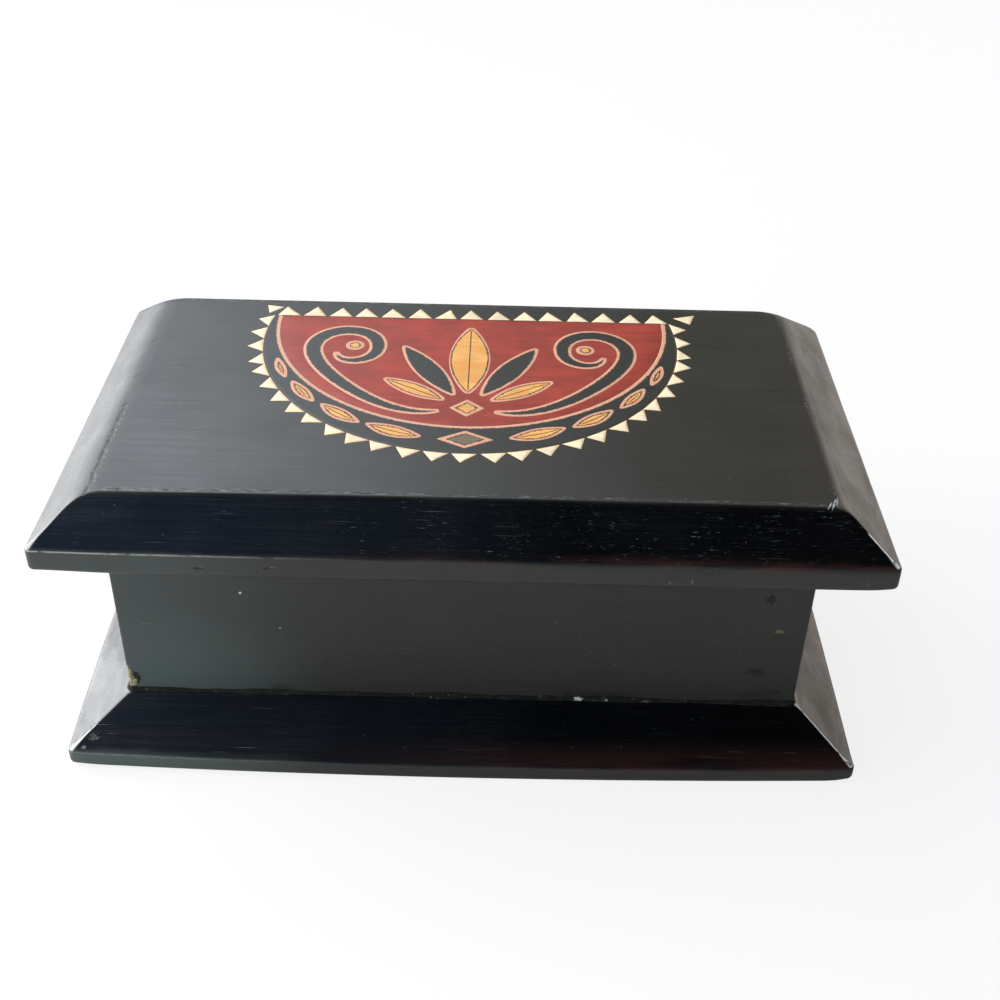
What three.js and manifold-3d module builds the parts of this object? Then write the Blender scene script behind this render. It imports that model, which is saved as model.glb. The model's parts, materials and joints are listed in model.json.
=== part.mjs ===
// Lacquered trinket box with a hinged, bevelled lid and an inlaid medallion.
// Millimetres, +Z up. X runs along the front, the front faces -Y, and the
// origin is the middle of the underside. The lid is drawn closed.
import * as THREE from 'three';
import { mergeVertices } from 'three/addons/utils/BufferGeometryUtils.js';
import Module from 'manifold-3d';

const wasm = await Module();
wasm.setup();

// Boards: both have the same plan, a straight edge band and a sloping bevel
const boardWidth = 200;
const boardDepth = 117.5;
const boardCornerRadius = 1.6;
const arrisRadius = 1.3;
const baseThickness = 13.8;
const baseBand = 4.5;
const lidThickness = 15.7;
const lidBand = 6.2;
const lidFrontBevel = 10.3;
const lidLeftBevel = 11.2;
const lidRightBevel = 13.2;
const lidShoulder = 4.2;

// Carcass: four walls, rebated into each other at the corners
const bodyWidth = 171.8;
const bodyDepth = 89.8;
const wallHeight = 48.9;
const wallThickness = 9.5;
const rebateTongue = 4.5;
const gap = 0.3;

// Butt hinges, let into the back wall's top edge and the lid's underside
const hingeOffsetX = 55;
const hingeLength = 25;
const leafWidth = 8;
const leafThickness = 1;
const knuckleRadius = 1.8;
const pinRadius = 0.8;
const pinHeadRadius = 1.3;
const pinHeadHeight = 0.5;
const hingeScrewSpacing = 15;

// Countersunk screws: head radius, head height, shank radius, full length
const hingeScrew = { head: 1.9, headHeight: 0.8, shank: 0.9, length: 9 };
const baseScrew = { head: 2.9, headHeight: 1.9, shank: 1.5, length: 26 };
const baseScrewX = 62;
const screwSides = 12;
const slotWidth = 0.5;
const screwSink = 0.1;
const boreRoom = 0.24;
const overshoot = 1;

// Medallion: a disc cut by a chord near the lid's back edge, ringed by teeth
const veneer = 0.8;
const discX = -0.9;
const discY = 27.6;
const discRadius = 56.1;
const chordY = 38.7;
const borderWidth = 0.6;
const arcTeeth = 29;
const arcToothHeight = 3.9;
const chordTeeth = 15;
const chordToothHeight = 5.2;
const toothFill = 0.82;
const loneTeeth = {
  left: [[-59, 44.8], [-58, 40.1], [-54.2, 43.8]],
  right: [[55.9, 42.3], [60.4, 38.9], [62.1, 44.3]],
};
const bandDiscRise = 9;
const bandDiscRadius = 53;
const inlayGap = 0.2;
const endTrim = 0.004;

// Ornament inside the disc: a palmette between two scrolls, and a dark band
// with leaves. Angles are from straight back for petals, from straight
// forward for leaves.
const palmetteY = -8;
const foot = { x: 4.6, y: 4.2 };
const petalRoot = 7;
const petalMiddle = { turn: 0, tip: 42, half: 5.8 };
const petalInner = { turn: 30, tip: 36, half: 3.8 };
const petalOuter = { turn: 58, tip: 26, half: 3 };
const scrollHalf = 2.6;
const petalTaper = { steps: 10, fullness: 0.75 };
const scrollTaper = { steps: 36, fullness: 0.45 };
const leafTaper = { steps: 8, fullness: 0.8 };
const eye = { x: 31.2, y: 22.8, radius: 2.6 };
const lozenge = { x: 7.2, y: 4 };
const leaves = [
  { turn: 21, length: 15, half: 2.7 },
  { turn: 39, length: 13.5, half: 2.4 },
  { turn: 55.5, length: 12, half: 1.9 },
  { turn: 70.5, length: 10.5, half: 1.4 },
];

// The scrolls are four Bezier spans from the palmette's foot to the curl,
// as distances from the disc's middle line
const scrollPoints = [
  [7, -9.5], [14, -11.5], [22, -8], [30, 0], [37, 7], [47, 20], [40, 28],
  [34.7, 34], [24, 31], [25, 21], [25.7, 14], [35, 12], [36, 19],
];

// How finely round stretches are faceted, and the distance at which points merge
const sectionSteps = 5;
const cornerSteps = 4;
const knuckleSides = 20;
const pinSides = 12;
const motifSteps = 12;
const discSteps = 48;
const ringSteps = 24;
const mergeDistance = 1e-4;

const boxHeight = baseThickness + wallHeight + lidThickness;
const lidBottom = baseThickness + wallHeight;
const backFace = bodyDepth / 2;
const hingeY = backFace + knuckleRadius + gap;
const hingeScrewY = backFace - leafWidth / 2;
const inlayFloor = boxHeight - veneer;

const lacquer = { color: 0x1a1b1b, roughness: 0.35, metalness: 0 };
const brass = { color: 0xb08d4a, roughness: 0.35, metalness: 1 };
const steel = { color: 0x8c8c88, roughness: 0.4, metalness: 1 };
const redVeneer = { color: 0xa23c38, roughness: 0.45, metalness: 0 };
const ochreVeneer = { color: 0xc8923f, roughness: 0.45, metalness: 0 };
const creamVeneer = { color: 0xe6d6a8, roughness: 0.45, metalness: 0 };
const brownVeneer = { color: 0x6a5a48, roughness: 0.45, metalness: 0 };

const sides = [
  { name: 'left', side: -1 },
  { name: 'right', side: 1 },
];

const box = new THREE.Group();

// A closed geometry as a solid that can be cut and joined
function solidOf(geometry) {
  const bare = geometry.clone();
  bare.deleteAttribute('normal');
  bare.deleteAttribute('uv');
  const merged = mergeVertices(bare, mergeDistance);
  return new wasm.Manifold(new wasm.Mesh({
    numProp: 3,
    vertProperties: new Float32Array(merged.attributes.position.array),
    triVerts: new Uint32Array(merged.index.array),
  }));
}

function geometryOf(solid) {
  const mesh = solid.getMesh();
  const geometry = new THREE.BufferGeometry();
  geometry.setAttribute('position', new THREE.BufferAttribute(mesh.vertProperties, 3));
  geometry.setIndex(new THREE.BufferAttribute(mesh.triVerts, 1));
  geometry.computeVertexNormals();
  return geometry;
}

function add(name, solid, finish) {
  const mesh = new THREE.Mesh(geometryOf(solid), new THREE.MeshStandardMaterial(finish));
  mesh.name = name;
  box.add(mesh);
}

function block(x0, x1, y0, y1, z0, z1) {
  const geometry = new THREE.BoxGeometry(x1 - x0, y1 - y0, z1 - z0);
  geometry.translate((x0 + x1) / 2, (y0 + y1) / 2, (z0 + z1) / 2);
  return solidOf(geometry);
}

// A flat outline in the XY plane, raised from z0 to z1
function plate(shape, z0, z1, curveSegments) {
  const depth = z1 - z0;
  const geometry = new THREE.ExtrudeGeometry(shape, { depth, bevelEnabled: false, curveSegments });
  geometry.translate(0, 0, z0);
  return solidOf(geometry);
}

// A (y, z) outline carried along X, and an (x, z) outline carried along Y
function prism(shape, depth, side) {
  const options = { depth, bevelEnabled: false, curveSegments: sectionSteps };
  const geometry = new THREE.ExtrudeGeometry(shape, options);
  geometry.translate(0, 0, -depth / 2);
  const across = side === 'x' ? new THREE.Vector3(0, 1, 0) : new THREE.Vector3(1, 0, 0);
  const along = side === 'x' ? new THREE.Vector3(1, 0, 0) : new THREE.Vector3(0, -1, 0);
  geometry.applyMatrix4(new THREE.Matrix4().makeBasis(across, new THREE.Vector3(0, 0, 1), along));
  return solidOf(geometry);
}

// A rod along X about the hinge line
function rod(radius, x0, x1, facets) {
  const geometry = new THREE.CylinderGeometry(radius, radius, x1 - x0, facets);
  geometry.rotateZ(Math.PI / 2);
  geometry.translate((x0 + x1) / 2, hingeY, lidBottom);
  return solidOf(geometry);
}

function roundedRectangle(width, depth, radius) {
  const shape = new THREE.Shape();
  const x = width / 2;
  const y = depth / 2;
  shape.moveTo(x, -y + radius);
  shape.lineTo(x, y - radius);
  shape.absarc(x - radius, y - radius, radius, 0, Math.PI / 2);
  shape.absarc(-x + radius, y - radius, radius, Math.PI / 2, Math.PI);
  shape.absarc(-x + radius, -y + radius, radius, Math.PI, 1.5 * Math.PI);
  shape.absarc(x - radius, -y + radius, radius, 1.5 * Math.PI, 2 * Math.PI);
  return shape;
}

// Section of a bevelled board: rounded lower arrises, the straight band, then
// each bevel. A bevel with a shoulder rounds over softly into the flat top:
// its curve starts as far down the slope as it ends in along the top.
function boardSection(half, bottom, band, top, leftBevel, rightBevel, shoulder) {
  const shape = new THREE.Shape();
  const rise = top - bottom - band;
  const rightDrop = shoulder * rise / rightBevel;
  const leftDrop = shoulder * rise / leftBevel;
  const r = arrisRadius;
  shape.moveTo(-half + r, bottom);
  shape.lineTo(half - r, bottom);
  shape.absarc(half - r, bottom + r, r, -Math.PI / 2, 0);
  shape.lineTo(half, bottom + band);
  shape.lineTo(half - rightBevel + shoulder, top - rightDrop);
  if (shoulder > 0) {
    shape.quadraticCurveTo(half - rightBevel, top, half - rightBevel - shoulder, top);
  }
  shape.lineTo(-half + leftBevel + shoulder, top);
  if (shoulder > 0) {
    shape.quadraticCurveTo(-half + leftBevel, top, -half + leftBevel - shoulder, top - leftDrop);
  }
  shape.lineTo(-half, bottom + band);
  shape.lineTo(-half, bottom + r);
  shape.absarc(-half + r, bottom + r, r, Math.PI, 1.5 * Math.PI);
  return shape;
}

// A board is what its plan and its two sections have in common
function bevelledBoard(bottom, thickness, band, frontBevel, leftBevel, rightBevel, shoulder) {
  const top = bottom + thickness;
  const outline = roundedRectangle(boardWidth, boardDepth, boardCornerRadius);
  const plan = plate(outline, bottom, top, cornerSteps);
  const endSection = boardSection(boardDepth / 2, bottom, band, top, frontBevel, frontBevel, 0);
  const frontSection = boardSection(boardWidth / 2, bottom, band, top, leftBevel, rightBevel, shoulder);
  return plan
    .intersect(prism(endSection, boardWidth + 2 * overshoot, 'x'))
    .intersect(prism(frontSection, boardDepth + 2 * overshoot, 'y'));
}

// Slotted countersunk screw, head upwards at the height z
function screw(size, x, y, z, upsideDown = false) {
  const points = [
    new THREE.Vector2(0, 0),
    new THREE.Vector2(size.head, 0),
    new THREE.Vector2(size.shank, -size.headHeight),
    new THREE.Vector2(size.shank, -size.length + 2 * size.shank),
    new THREE.Vector2(0, -size.length),
  ].reverse();
  const geometry = new THREE.LatheGeometry(points, screwSides);
  geometry.rotateX(Math.PI / 2);
  if (upsideDown) geometry.rotateX(Math.PI);
  geometry.translate(x, y, z);
  const slotEnd = upsideDown ? z + size.headHeight / 2 : z - size.headHeight / 2;
  const slotMouth = upsideDown ? z - overshoot : z + overshoot;
  const slot = block(x - size.head, x + size.head, y - slotWidth / 2, y + slotWidth / 2,
    Math.min(slotEnd, slotMouth), Math.max(slotEnd, slotMouth));
  return solidOf(geometry).subtract(slot);
}

// The hole that a screw sits in, a little larger all round
function screwHole(size, x, y, z, upsideDown = false) {
  const points = [
    new THREE.Vector2(0, overshoot),
    new THREE.Vector2(size.head + boreRoom, overshoot),
    new THREE.Vector2(size.head + boreRoom, 0),
    new THREE.Vector2(size.shank + boreRoom, -size.headHeight),
    new THREE.Vector2(size.shank + boreRoom, -size.length - boreRoom),
    new THREE.Vector2(0, -size.length - boreRoom),
  ].reverse();
  const geometry = new THREE.LatheGeometry(points, screwSides);
  geometry.rotateX(Math.PI / 2);
  if (upsideDown) geometry.rotateX(Math.PI);
  geometry.translate(x, y, z);
  return solidOf(geometry);
}

const hinges = sides.map(({ name, side }) => ({ name, x: side * hingeOffsetX }));

function hingeScrewPlaces(hinge) {
  return [-1, 1].map((side) => hinge.x + side * hingeScrewSpacing / 2);
}

// One leaf with its share of the knuckle. The wall's leaf has the middle
// knuckle and lies under the joint line; the lid's leaf has the outer two.
function hingeLeaf(hinge, onLid) {
  const x0 = hinge.x - hingeLength / 2;
  const x1 = hinge.x + hingeLength / 2;
  const third = hingeLength / 3;
  const z0 = onLid ? lidBottom : lidBottom - leafThickness;
  const z1 = z0 + leafThickness;
  const knuckles = onLid
    ? [[x0, x0 + third - gap], [x1 - third + gap, x1]]
    : [[x0 + third, x1 - third]];
  let leaf = block(x0, x1, backFace - leafWidth, backFace, z0, z1);
  for (const [from, to] of knuckles) {
    const web = block(from, to, backFace - overshoot, hingeY, z0, z1);
    leaf = leaf.add(web).add(rod(knuckleRadius, from, to, knuckleSides));
  }
  leaf = leaf.subtract(rod(pinRadius + boreRoom, x0 - overshoot, x1 + overshoot, pinSides));
  for (const x of hingeScrewPlaces(hinge)) {
    const head = onLid ? lidBottom + screwSink : lidBottom - screwSink;
    leaf = leaf.subtract(screwHole(hingeScrew, x, hingeScrewY, head, onLid));
  }
  return leaf;
}

function hingePin(hinge) {
  const x0 = hinge.x - hingeLength / 2 - gap;
  const x1 = hinge.x + hingeLength / 2 + gap;
  return rod(pinRadius, x0, x1, pinSides)
    .add(rod(pinHeadRadius, x0 - pinHeadHeight, x0, pinSides))
    .add(rod(pinHeadRadius, x1, x1 + pinHeadHeight, pinSides));
}

// Room for a hinge in the lid: the leaf's mortise and a channel for the
// knuckles and the pin's heads
function lidHingeRoom(hinge) {
  const x0 = hinge.x - hingeLength / 2 - gap;
  const x1 = hinge.x + hingeLength / 2 + gap;
  const headRoom = pinHeadHeight + gap;
  const front = backFace - leafWidth - gap;
  return block(x0, x1, front, hingeY, lidBottom - overshoot, lidBottom + leafThickness)
    .add(rod(knuckleRadius + gap, x0 - headRoom, x1 + headRoom, knuckleSides));
}

function wallHingeRoom(hinge) {
  const x0 = hinge.x - hingeLength / 2 - gap;
  const x1 = hinge.x + hingeLength / 2 + gap;
  const front = backFace - leafWidth - gap;
  return block(x0, x1, front, backFace + overshoot, lidBottom - leafThickness, lidBottom + overshoot);
}

const baseScrews = [
  { name: 'front_left', x: -baseScrewX, y: -1 },
  { name: 'front_right', x: baseScrewX, y: -1 },
  { name: 'back_left', x: -baseScrewX, y: 1 },
  { name: 'back_right', x: baseScrewX, y: 1 },
].map((place) => ({ ...place, y: place.y * (backFace - wallThickness / 2) }));

function cutBaseScrews(solid) {
  return baseScrews.reduce(
    (left, place) => left.subtract(screwHole(baseScrew, place.x, place.y, gap, true)), solid);
}

// Front and back walls run the full width and end in tongues; the side walls
// fill the space between the tongues
function longWall(side) {
  const x = bodyWidth / 2;
  const shape = new THREE.Shape();
  shape.moveTo(-x, 0);
  shape.lineTo(x, 0);
  shape.lineTo(x, rebateTongue);
  shape.lineTo(x - wallThickness, rebateTongue);
  shape.lineTo(x - wallThickness, wallThickness);
  shape.lineTo(-x + wallThickness, wallThickness);
  shape.lineTo(-x + wallThickness, rebateTongue);
  shape.lineTo(-x, rebateTongue);
  const geometry = new THREE.ExtrudeGeometry(shape, { depth: wallHeight, bevelEnabled: false });
  if (side > 0) geometry.rotateZ(Math.PI);
  geometry.translate(0, side * backFace, baseThickness);
  return solidOf(geometry);
}

function sideWall(side) {
  const outer = side * bodyWidth / 2;
  const inner = side * (bodyWidth / 2 - wallThickness);
  const reach = backFace - rebateTongue;
  return block(Math.min(outer, inner), Math.max(outer, inner), -reach, reach, baseThickness, lidBottom);
}

// A polygon with every side moved outwards by an amount
function grown(points, amount) {
  const outline = THREE.ShapeUtils.isClockWise(points) ? [...points].reverse() : points;
  return new THREE.Shape(outline.map((point, index) => {
    const before = outline[(index + outline.length - 1) % outline.length];
    const after = outline[(index + 1) % outline.length];
    const into = point.clone().sub(before).normalize();
    const out = after.clone().sub(point).normalize();
    const shift = new THREE.Vector2(into.y + out.y, -into.x - out.x);
    return point.clone().addScaledVector(shift, amount / (1 + into.dot(out)));
  }));
}

// The cut disc, grown or shrunk by an amount
function cutDisc(grow) {
  const shape = new THREE.Shape();
  const radius = discRadius + grow;
  const start = Math.asin((chordY + grow - discY) / radius);
  shape.absarc(discX, discY, radius, start, -Math.PI - start, true);
  return shape;
}

// The cut disc ringed with teeth, grown by the room that its pocket needs
function toothedDisc(room) {
  const radius = discRadius + borderWidth;
  const start = Math.asin((chordY + borderWidth - discY) / radius);
  const points = [];
  const arcPitch = (Math.PI + 2 * start) / arcTeeth;
  for (let tooth = 0; tooth < arcTeeth; tooth += 1) {
    const middle = start - (tooth + 0.5) * arcPitch;
    const half = arcPitch * toothFill / 2;
    const tip = radius + arcToothHeight;
    for (const [angle, reach] of [[middle + half, radius], [middle, tip], [middle - half, radius]]) {
      points.push(new THREE.Vector2(discX + reach * Math.cos(angle), discY + reach * Math.sin(angle)));
    }
  }
  const chordHalf = radius * Math.cos(start);
  const chordPitch = 2 * chordHalf / chordTeeth;
  for (let tooth = 0; tooth < chordTeeth; tooth += 1) {
    const x = discX - chordHalf + (tooth + 0.5) * chordPitch;
    const half = chordPitch * toothFill / 2;
    points.push(new THREE.Vector2(x - half, chordY + borderWidth));
    points.push(new THREE.Vector2(x, chordY + borderWidth + chordToothHeight));
    points.push(new THREE.Vector2(x + half, chordY + borderWidth));
  }
  return grown(points, room);
}

// The two lone teeth that fill the corners beyond the chord's ends
function loneTooth(side, room) {
  return grown(loneTeeth[side].map(([x, y]) => new THREE.Vector2(x, y)), room);
}

// A strip along a path: the half-width tapers to the ends by a power of a sine,
// and the very ends are left a hair wide
function strip(path, halfWidth, { steps, fullness }, grow) {
  const left = [];
  const right = [];
  for (let step = 0; step <= steps; step += 1) {
    const t = step / steps;
    const place = path.getPoint(t);
    const along = path.getTangent(t);
    const inside = Math.min(Math.max(t, endTrim), 1 - endTrim);
    const width = halfWidth * Math.sin(Math.PI * inside) ** fullness + grow;
    left.push(new THREE.Vector2(place.x - along.y * width, place.y + along.x * width));
    right.unshift(new THREE.Vector2(place.x + along.y * width, place.y - along.x * width));
  }
  return new THREE.Shape([...left, ...right]);
}

function scrollPath(side) {
  const at = ([x, y]) => new THREE.Vector2(discX + side * x, y);
  const path = new THREE.CurvePath();
  for (let first = 0; first + 3 < scrollPoints.length; first += 3) {
    path.add(new THREE.CubicBezierCurve(...scrollPoints.slice(first, first + 4).map(at)));
  }
  return path;
}

// A petal from the palmette's foot, and a leaf along the dark band
function petalPath(degrees, from, to) {
  const angle = THREE.MathUtils.degToRad(degrees);
  const at = (reach) => new THREE.Vector2(
    discX + reach * Math.sin(angle), palmetteY + reach * Math.cos(angle));
  return new THREE.LineCurve(at(from), at(to));
}

function leafPath(degrees, length) {
  const angle = THREE.MathUtils.degToRad(degrees);
  const radius = bandMiddle(angle);
  const half = length / radius / 2;
  const at = (turn) => new THREE.Vector2(
    discX + radius * Math.sin(turn), discY - radius * Math.cos(turn));
  return new THREE.QuadraticBezierCurve(at(angle - half),
    new THREE.Vector2(discX + radius / Math.cos(half) * Math.sin(angle),
      discY - radius / Math.cos(half) * Math.cos(angle)), at(angle + half));
}

// Distance from the disc's centre to the middle of the dark band, at an angle
// from straight down: the band lies between the disc's edge and a raised disc
function bandMiddle(angle) {
  const toward = bandDiscRise * Math.cos(angle);
  const inner = -toward + Math.sqrt(toward ** 2 - bandDiscRise ** 2 + bandDiscRadius ** 2);
  return (inner + discRadius) / 2;
}

function disc(x, y, radius) {
  const shape = new THREE.Shape();
  shape.absarc(x, y, radius, 0, 2 * Math.PI);
  return shape;
}

function diamond(y, halfX, halfY, grow) {
  return grown([
    new THREE.Vector2(discX - halfX, y),
    new THREE.Vector2(discX, y - halfY),
    new THREE.Vector2(discX + halfX, y),
    new THREE.Vector2(discX, y + halfY),
  ], grow);
}

function petal(name, size, side, finish) {
  return {
    name: `petal_${name}`,
    finish,
    outline: (grow) => strip(petalPath(side * size.turn, petalRoot - grow, size.tip + grow),
      size.half, petalTaper, grow),
  };
}

// Every motif has a name, a finish and an outline for a given growth
function fieldMotifs() {
  const motifs = [petal('middle', petalMiddle, 0, ochreVeneer)];
  for (const { name, side } of sides) {
    motifs.push(petal(`inner_${name}`, petalInner, side, lacquer));
    motifs.push(petal(`outer_${name}`, petalOuter, side, ochreVeneer));
    motifs.push({
      name: `scroll_${name}`,
      finish: lacquer,
      outline: (grow) => strip(scrollPath(side), scrollHalf, scrollTaper, grow),
    });
    motifs.push({
      name: `eye_${name}`,
      finish: ochreVeneer,
      outline: (grow) => disc(discX + side * eye.x, eye.y, eye.radius + grow),
    });
  }
  motifs.push({
    name: 'palmette_foot',
    finish: ochreVeneer,
    outline: (grow) => diamond(palmetteY, foot.x, foot.y, grow),
  });
  return motifs;
}

function bandMotifs() {
  const motifs = [];
  for (const { name, side } of sides) {
    leaves.forEach((leaf, index) => motifs.push({
      name: `leaf_${name}_${index + 1}`,
      finish: ochreVeneer,
      outline: (grow) => strip(leafPath(side * leaf.turn, leaf.length + 2 * grow),
        leaf.half, leafTaper, grow),
    }));
  }
  motifs.push({
    name: 'band_lozenge',
    finish: brownVeneer,
    outline: (grow) => diamond(discY - bandMiddle(0), lozenge.x, lozenge.y, grow),
  });
  return motifs;
}

function inlay(shape) {
  return plate(shape, inlayFloor, boxHeight, motifSteps);
}

function pocket(shape) {
  return plate(shape, inlayFloor, boxHeight + overshoot, motifSteps);
}

function addMedallion() {
  const raisedDisc = (grow) => disc(discX, discY + bandDiscRise, bandDiscRadius + grow);
  const wholeDisc = plate(cutDisc(-gap), inlayFloor, boxHeight, discSteps);
  const through = [inlayFloor - overshoot, boxHeight + overshoot, discSteps];
  const inner = plate(raisedDisc(0), ...through);
  const innerWide = plate(raisedDisc(inlayGap), ...through);
  const cutOut = (solid, motifs) => motifs.reduce(
    (left, motif) => left.subtract(pocket(motif.outline(inlayGap))), solid);
  add('red_field', cutOut(wholeDisc.intersect(inner), fieldMotifs()), redVeneer);
  add('dark_band', cutOut(wholeDisc.subtract(innerWide), bandMotifs()), lacquer);
  for (const motif of [...fieldMotifs(), ...bandMotifs()]) {
    add(motif.name, inlay(motif.outline(0)), motif.finish);
  }
  const teeth = plate(toothedDisc(0), inlayFloor, boxHeight, ringSteps);
  add('tooth_border', teeth.subtract(plate(cutDisc(0), ...through)), creamVeneer);
  add('lone_tooth_left', inlay(loneTooth('left', 0)), creamVeneer);
  add('lone_tooth_right', inlay(loneTooth('right', 0)), creamVeneer);
}

function addLid() {
  let board = bevelledBoard(lidBottom, lidThickness, lidBand, lidFrontBevel,
    lidLeftBevel, lidRightBevel, lidShoulder);
  board = board.subtract(pocket(toothedDisc(inlayGap)));
  for (const side of ['left', 'right']) board = board.subtract(pocket(loneTooth(side, inlayGap)));
  for (const hinge of hinges) {
    board = board.subtract(lidHingeRoom(hinge));
    for (const x of hingeScrewPlaces(hinge)) {
      board = board.subtract(screwHole(hingeScrew, x, hingeScrewY, lidBottom + screwSink, true));
    }
  }
  add('lid_board', board, lacquer);
}

function addCarcass() {
  const base = bevelledBoard(0, baseThickness, baseBand, (boardDepth - bodyDepth) / 2,
    (boardWidth - bodyWidth) / 2, (boardWidth - bodyWidth) / 2, 0);
  add('base_board', cutBaseScrews(base), lacquer);
  add('front_wall', cutBaseScrews(longWall(-1)), lacquer);
  let back = cutBaseScrews(longWall(1));
  for (const hinge of hinges) {
    back = back.subtract(wallHingeRoom(hinge));
    for (const x of hingeScrewPlaces(hinge)) {
      back = back.subtract(screwHole(hingeScrew, x, hingeScrewY, lidBottom - screwSink));
    }
  }
  add('back_wall', back, lacquer);
  add('left_wall', sideWall(-1), lacquer);
  add('right_wall', sideWall(1), lacquer);
  for (const place of baseScrews) {
    add(`base_screw_${place.name}`, screw(baseScrew, place.x, place.y, gap, true), steel);
  }
}

function addHinges() {
  for (const hinge of hinges) {
    add(`wall_leaf_${hinge.name}`, hingeLeaf(hinge, false), brass);
    add(`lid_leaf_${hinge.name}`, hingeLeaf(hinge, true), brass);
    add(`hinge_pin_${hinge.name}`, hingePin(hinge), brass);
    hingeScrewPlaces(hinge).forEach((x, index) => {
      add(`wall_screw_${hinge.name}_${index + 1}`,
        screw(hingeScrew, x, hingeScrewY, lidBottom - screwSink), brass);
      add(`lid_screw_${hinge.name}_${index + 1}`,
        screw(hingeScrew, x, hingeScrewY, lidBottom + screwSink, true), brass);
    });
  }
}

addCarcass();
addHinges();
addLid();
addMedallion();

export default box;
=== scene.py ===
"""A lacquered wooden trinket box with a bevelled lid and an inlaid medallion.

Metres, +Z up. X runs along the front, the front faces -Y and the hinges are at
+Y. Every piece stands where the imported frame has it.
"""

import json
import math

import bpy
import numpy as np
from bpy.props import FloatProperty, FloatVectorProperty, IntProperty, PointerProperty
from mathutils import Matrix, Vector


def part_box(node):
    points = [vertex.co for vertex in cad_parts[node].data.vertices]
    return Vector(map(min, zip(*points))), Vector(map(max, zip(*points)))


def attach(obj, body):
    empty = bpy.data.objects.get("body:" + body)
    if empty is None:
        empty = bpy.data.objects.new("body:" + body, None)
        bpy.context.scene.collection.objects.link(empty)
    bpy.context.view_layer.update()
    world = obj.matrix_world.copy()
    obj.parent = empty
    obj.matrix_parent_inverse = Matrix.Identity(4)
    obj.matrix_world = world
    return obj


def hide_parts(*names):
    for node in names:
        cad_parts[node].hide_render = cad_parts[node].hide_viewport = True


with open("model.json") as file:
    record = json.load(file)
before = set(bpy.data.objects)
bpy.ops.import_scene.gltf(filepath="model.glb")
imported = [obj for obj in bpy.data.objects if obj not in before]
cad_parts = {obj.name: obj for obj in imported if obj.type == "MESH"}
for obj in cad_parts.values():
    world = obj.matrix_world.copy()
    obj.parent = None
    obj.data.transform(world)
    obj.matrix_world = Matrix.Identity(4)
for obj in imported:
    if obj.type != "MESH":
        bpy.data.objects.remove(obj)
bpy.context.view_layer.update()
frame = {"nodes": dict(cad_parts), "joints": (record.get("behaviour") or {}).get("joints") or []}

bl_info = {
    "name": "Lacquered Trinket Box",
    "version": (1, 0, 0),
    "blender": (4, 5, 0),
    "location": "3D View > Sidebar > Trinket Box",
    "description": "Dresses a hinged trinket box: lacquered boards, inlaid medallion, brass hinges",
    "category": "Add Mesh",
}

MM = 0.001

# Roughness of the lacquer, and how much duller or glossier its parts are
GLOSS = 0.33
DULLER_EDGE = 0.15
DULLER_END = 0.18
DULLER_MARK = 0.35
GLOSSIER_SLOPE = 0.08

# How strongly the coats mirror
LACQUER_IOR = 1.5
VENEER_IOR = 1.38
GLUE_IOR = 1.25

# Films, specks and lines on the lacquer, with painted light, a painted reflection and painted highlights
# among them
# Painted light: a blue-green glow painted low on the left end of the front walls
LOW_PAINTED_LIGHT = (0.042, 0.06, 0.058)
# Painted reflection: a bluish tint on the long bevels, stronger towards the left
BLUISH_REFLECTION_PAINT = (0.016, 0.021, 0.028)
PALE_SPECK = (0.26, 0.27, 0.26)
PALE_FLECK = (0.22, 0.23, 0.23)
# Partly pale wear, partly painted highlight: a line along the foot of the front bevel, strongest at the
# left end
LIP_WEAR_AND_HIGHLIGHT = (0.45, 0.45, 0.38)
PALE_LINE = (0.16, 0.165, 0.165)
# Painted highlight along the lower part of the front mitre ridges
RIDGE_HIGHLIGHT = (0.95, 0.93, 0.9)
INLAY_SPECK = (0.3, 0.3, 0.29)

# Colours of the glue
DARK_GLUE = (0.002, 0.002, 0.002)
DUSTY_GLUE = (0.016, 0.015, 0.011)
GLUE_SPECK = (0.17, 0.19, 0.13)

# Stains of the marks of use
DARK_STAIN = (0.001, 0.001, 0.001)
TAN_STAIN = (0.11, 0.09, 0.04)
RAW_WOOD = (0.3, 0.26, 0.15)
SCUFF = (0.5, 0.5, 0.5)
SOFT_SCUFF = (0.28, 0.28, 0.28)
FAINT_SCUFF = (0.25, 0.25, 0.24)
DIM_SCUFF = (0.1, 0.1, 0.1)
THIN_SCUFF = (0.09, 0.09, 0.085)
ROSY_SCUFF = (0.07, 0.06, 0.06)
PALE_CHIP = (0.6, 0.64, 0.52)
GREY_CHIP = (0.25, 0.27, 0.22)
DULL_CHIP = (0.1, 0.105, 0.09)
CHIP_RIM = (0.07, 0.07, 0.063)
ROUGH_PATCH = (0.012, 0.013, 0.009)
BROWN_SMEAR = (0.06, 0.055, 0.035)

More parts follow.
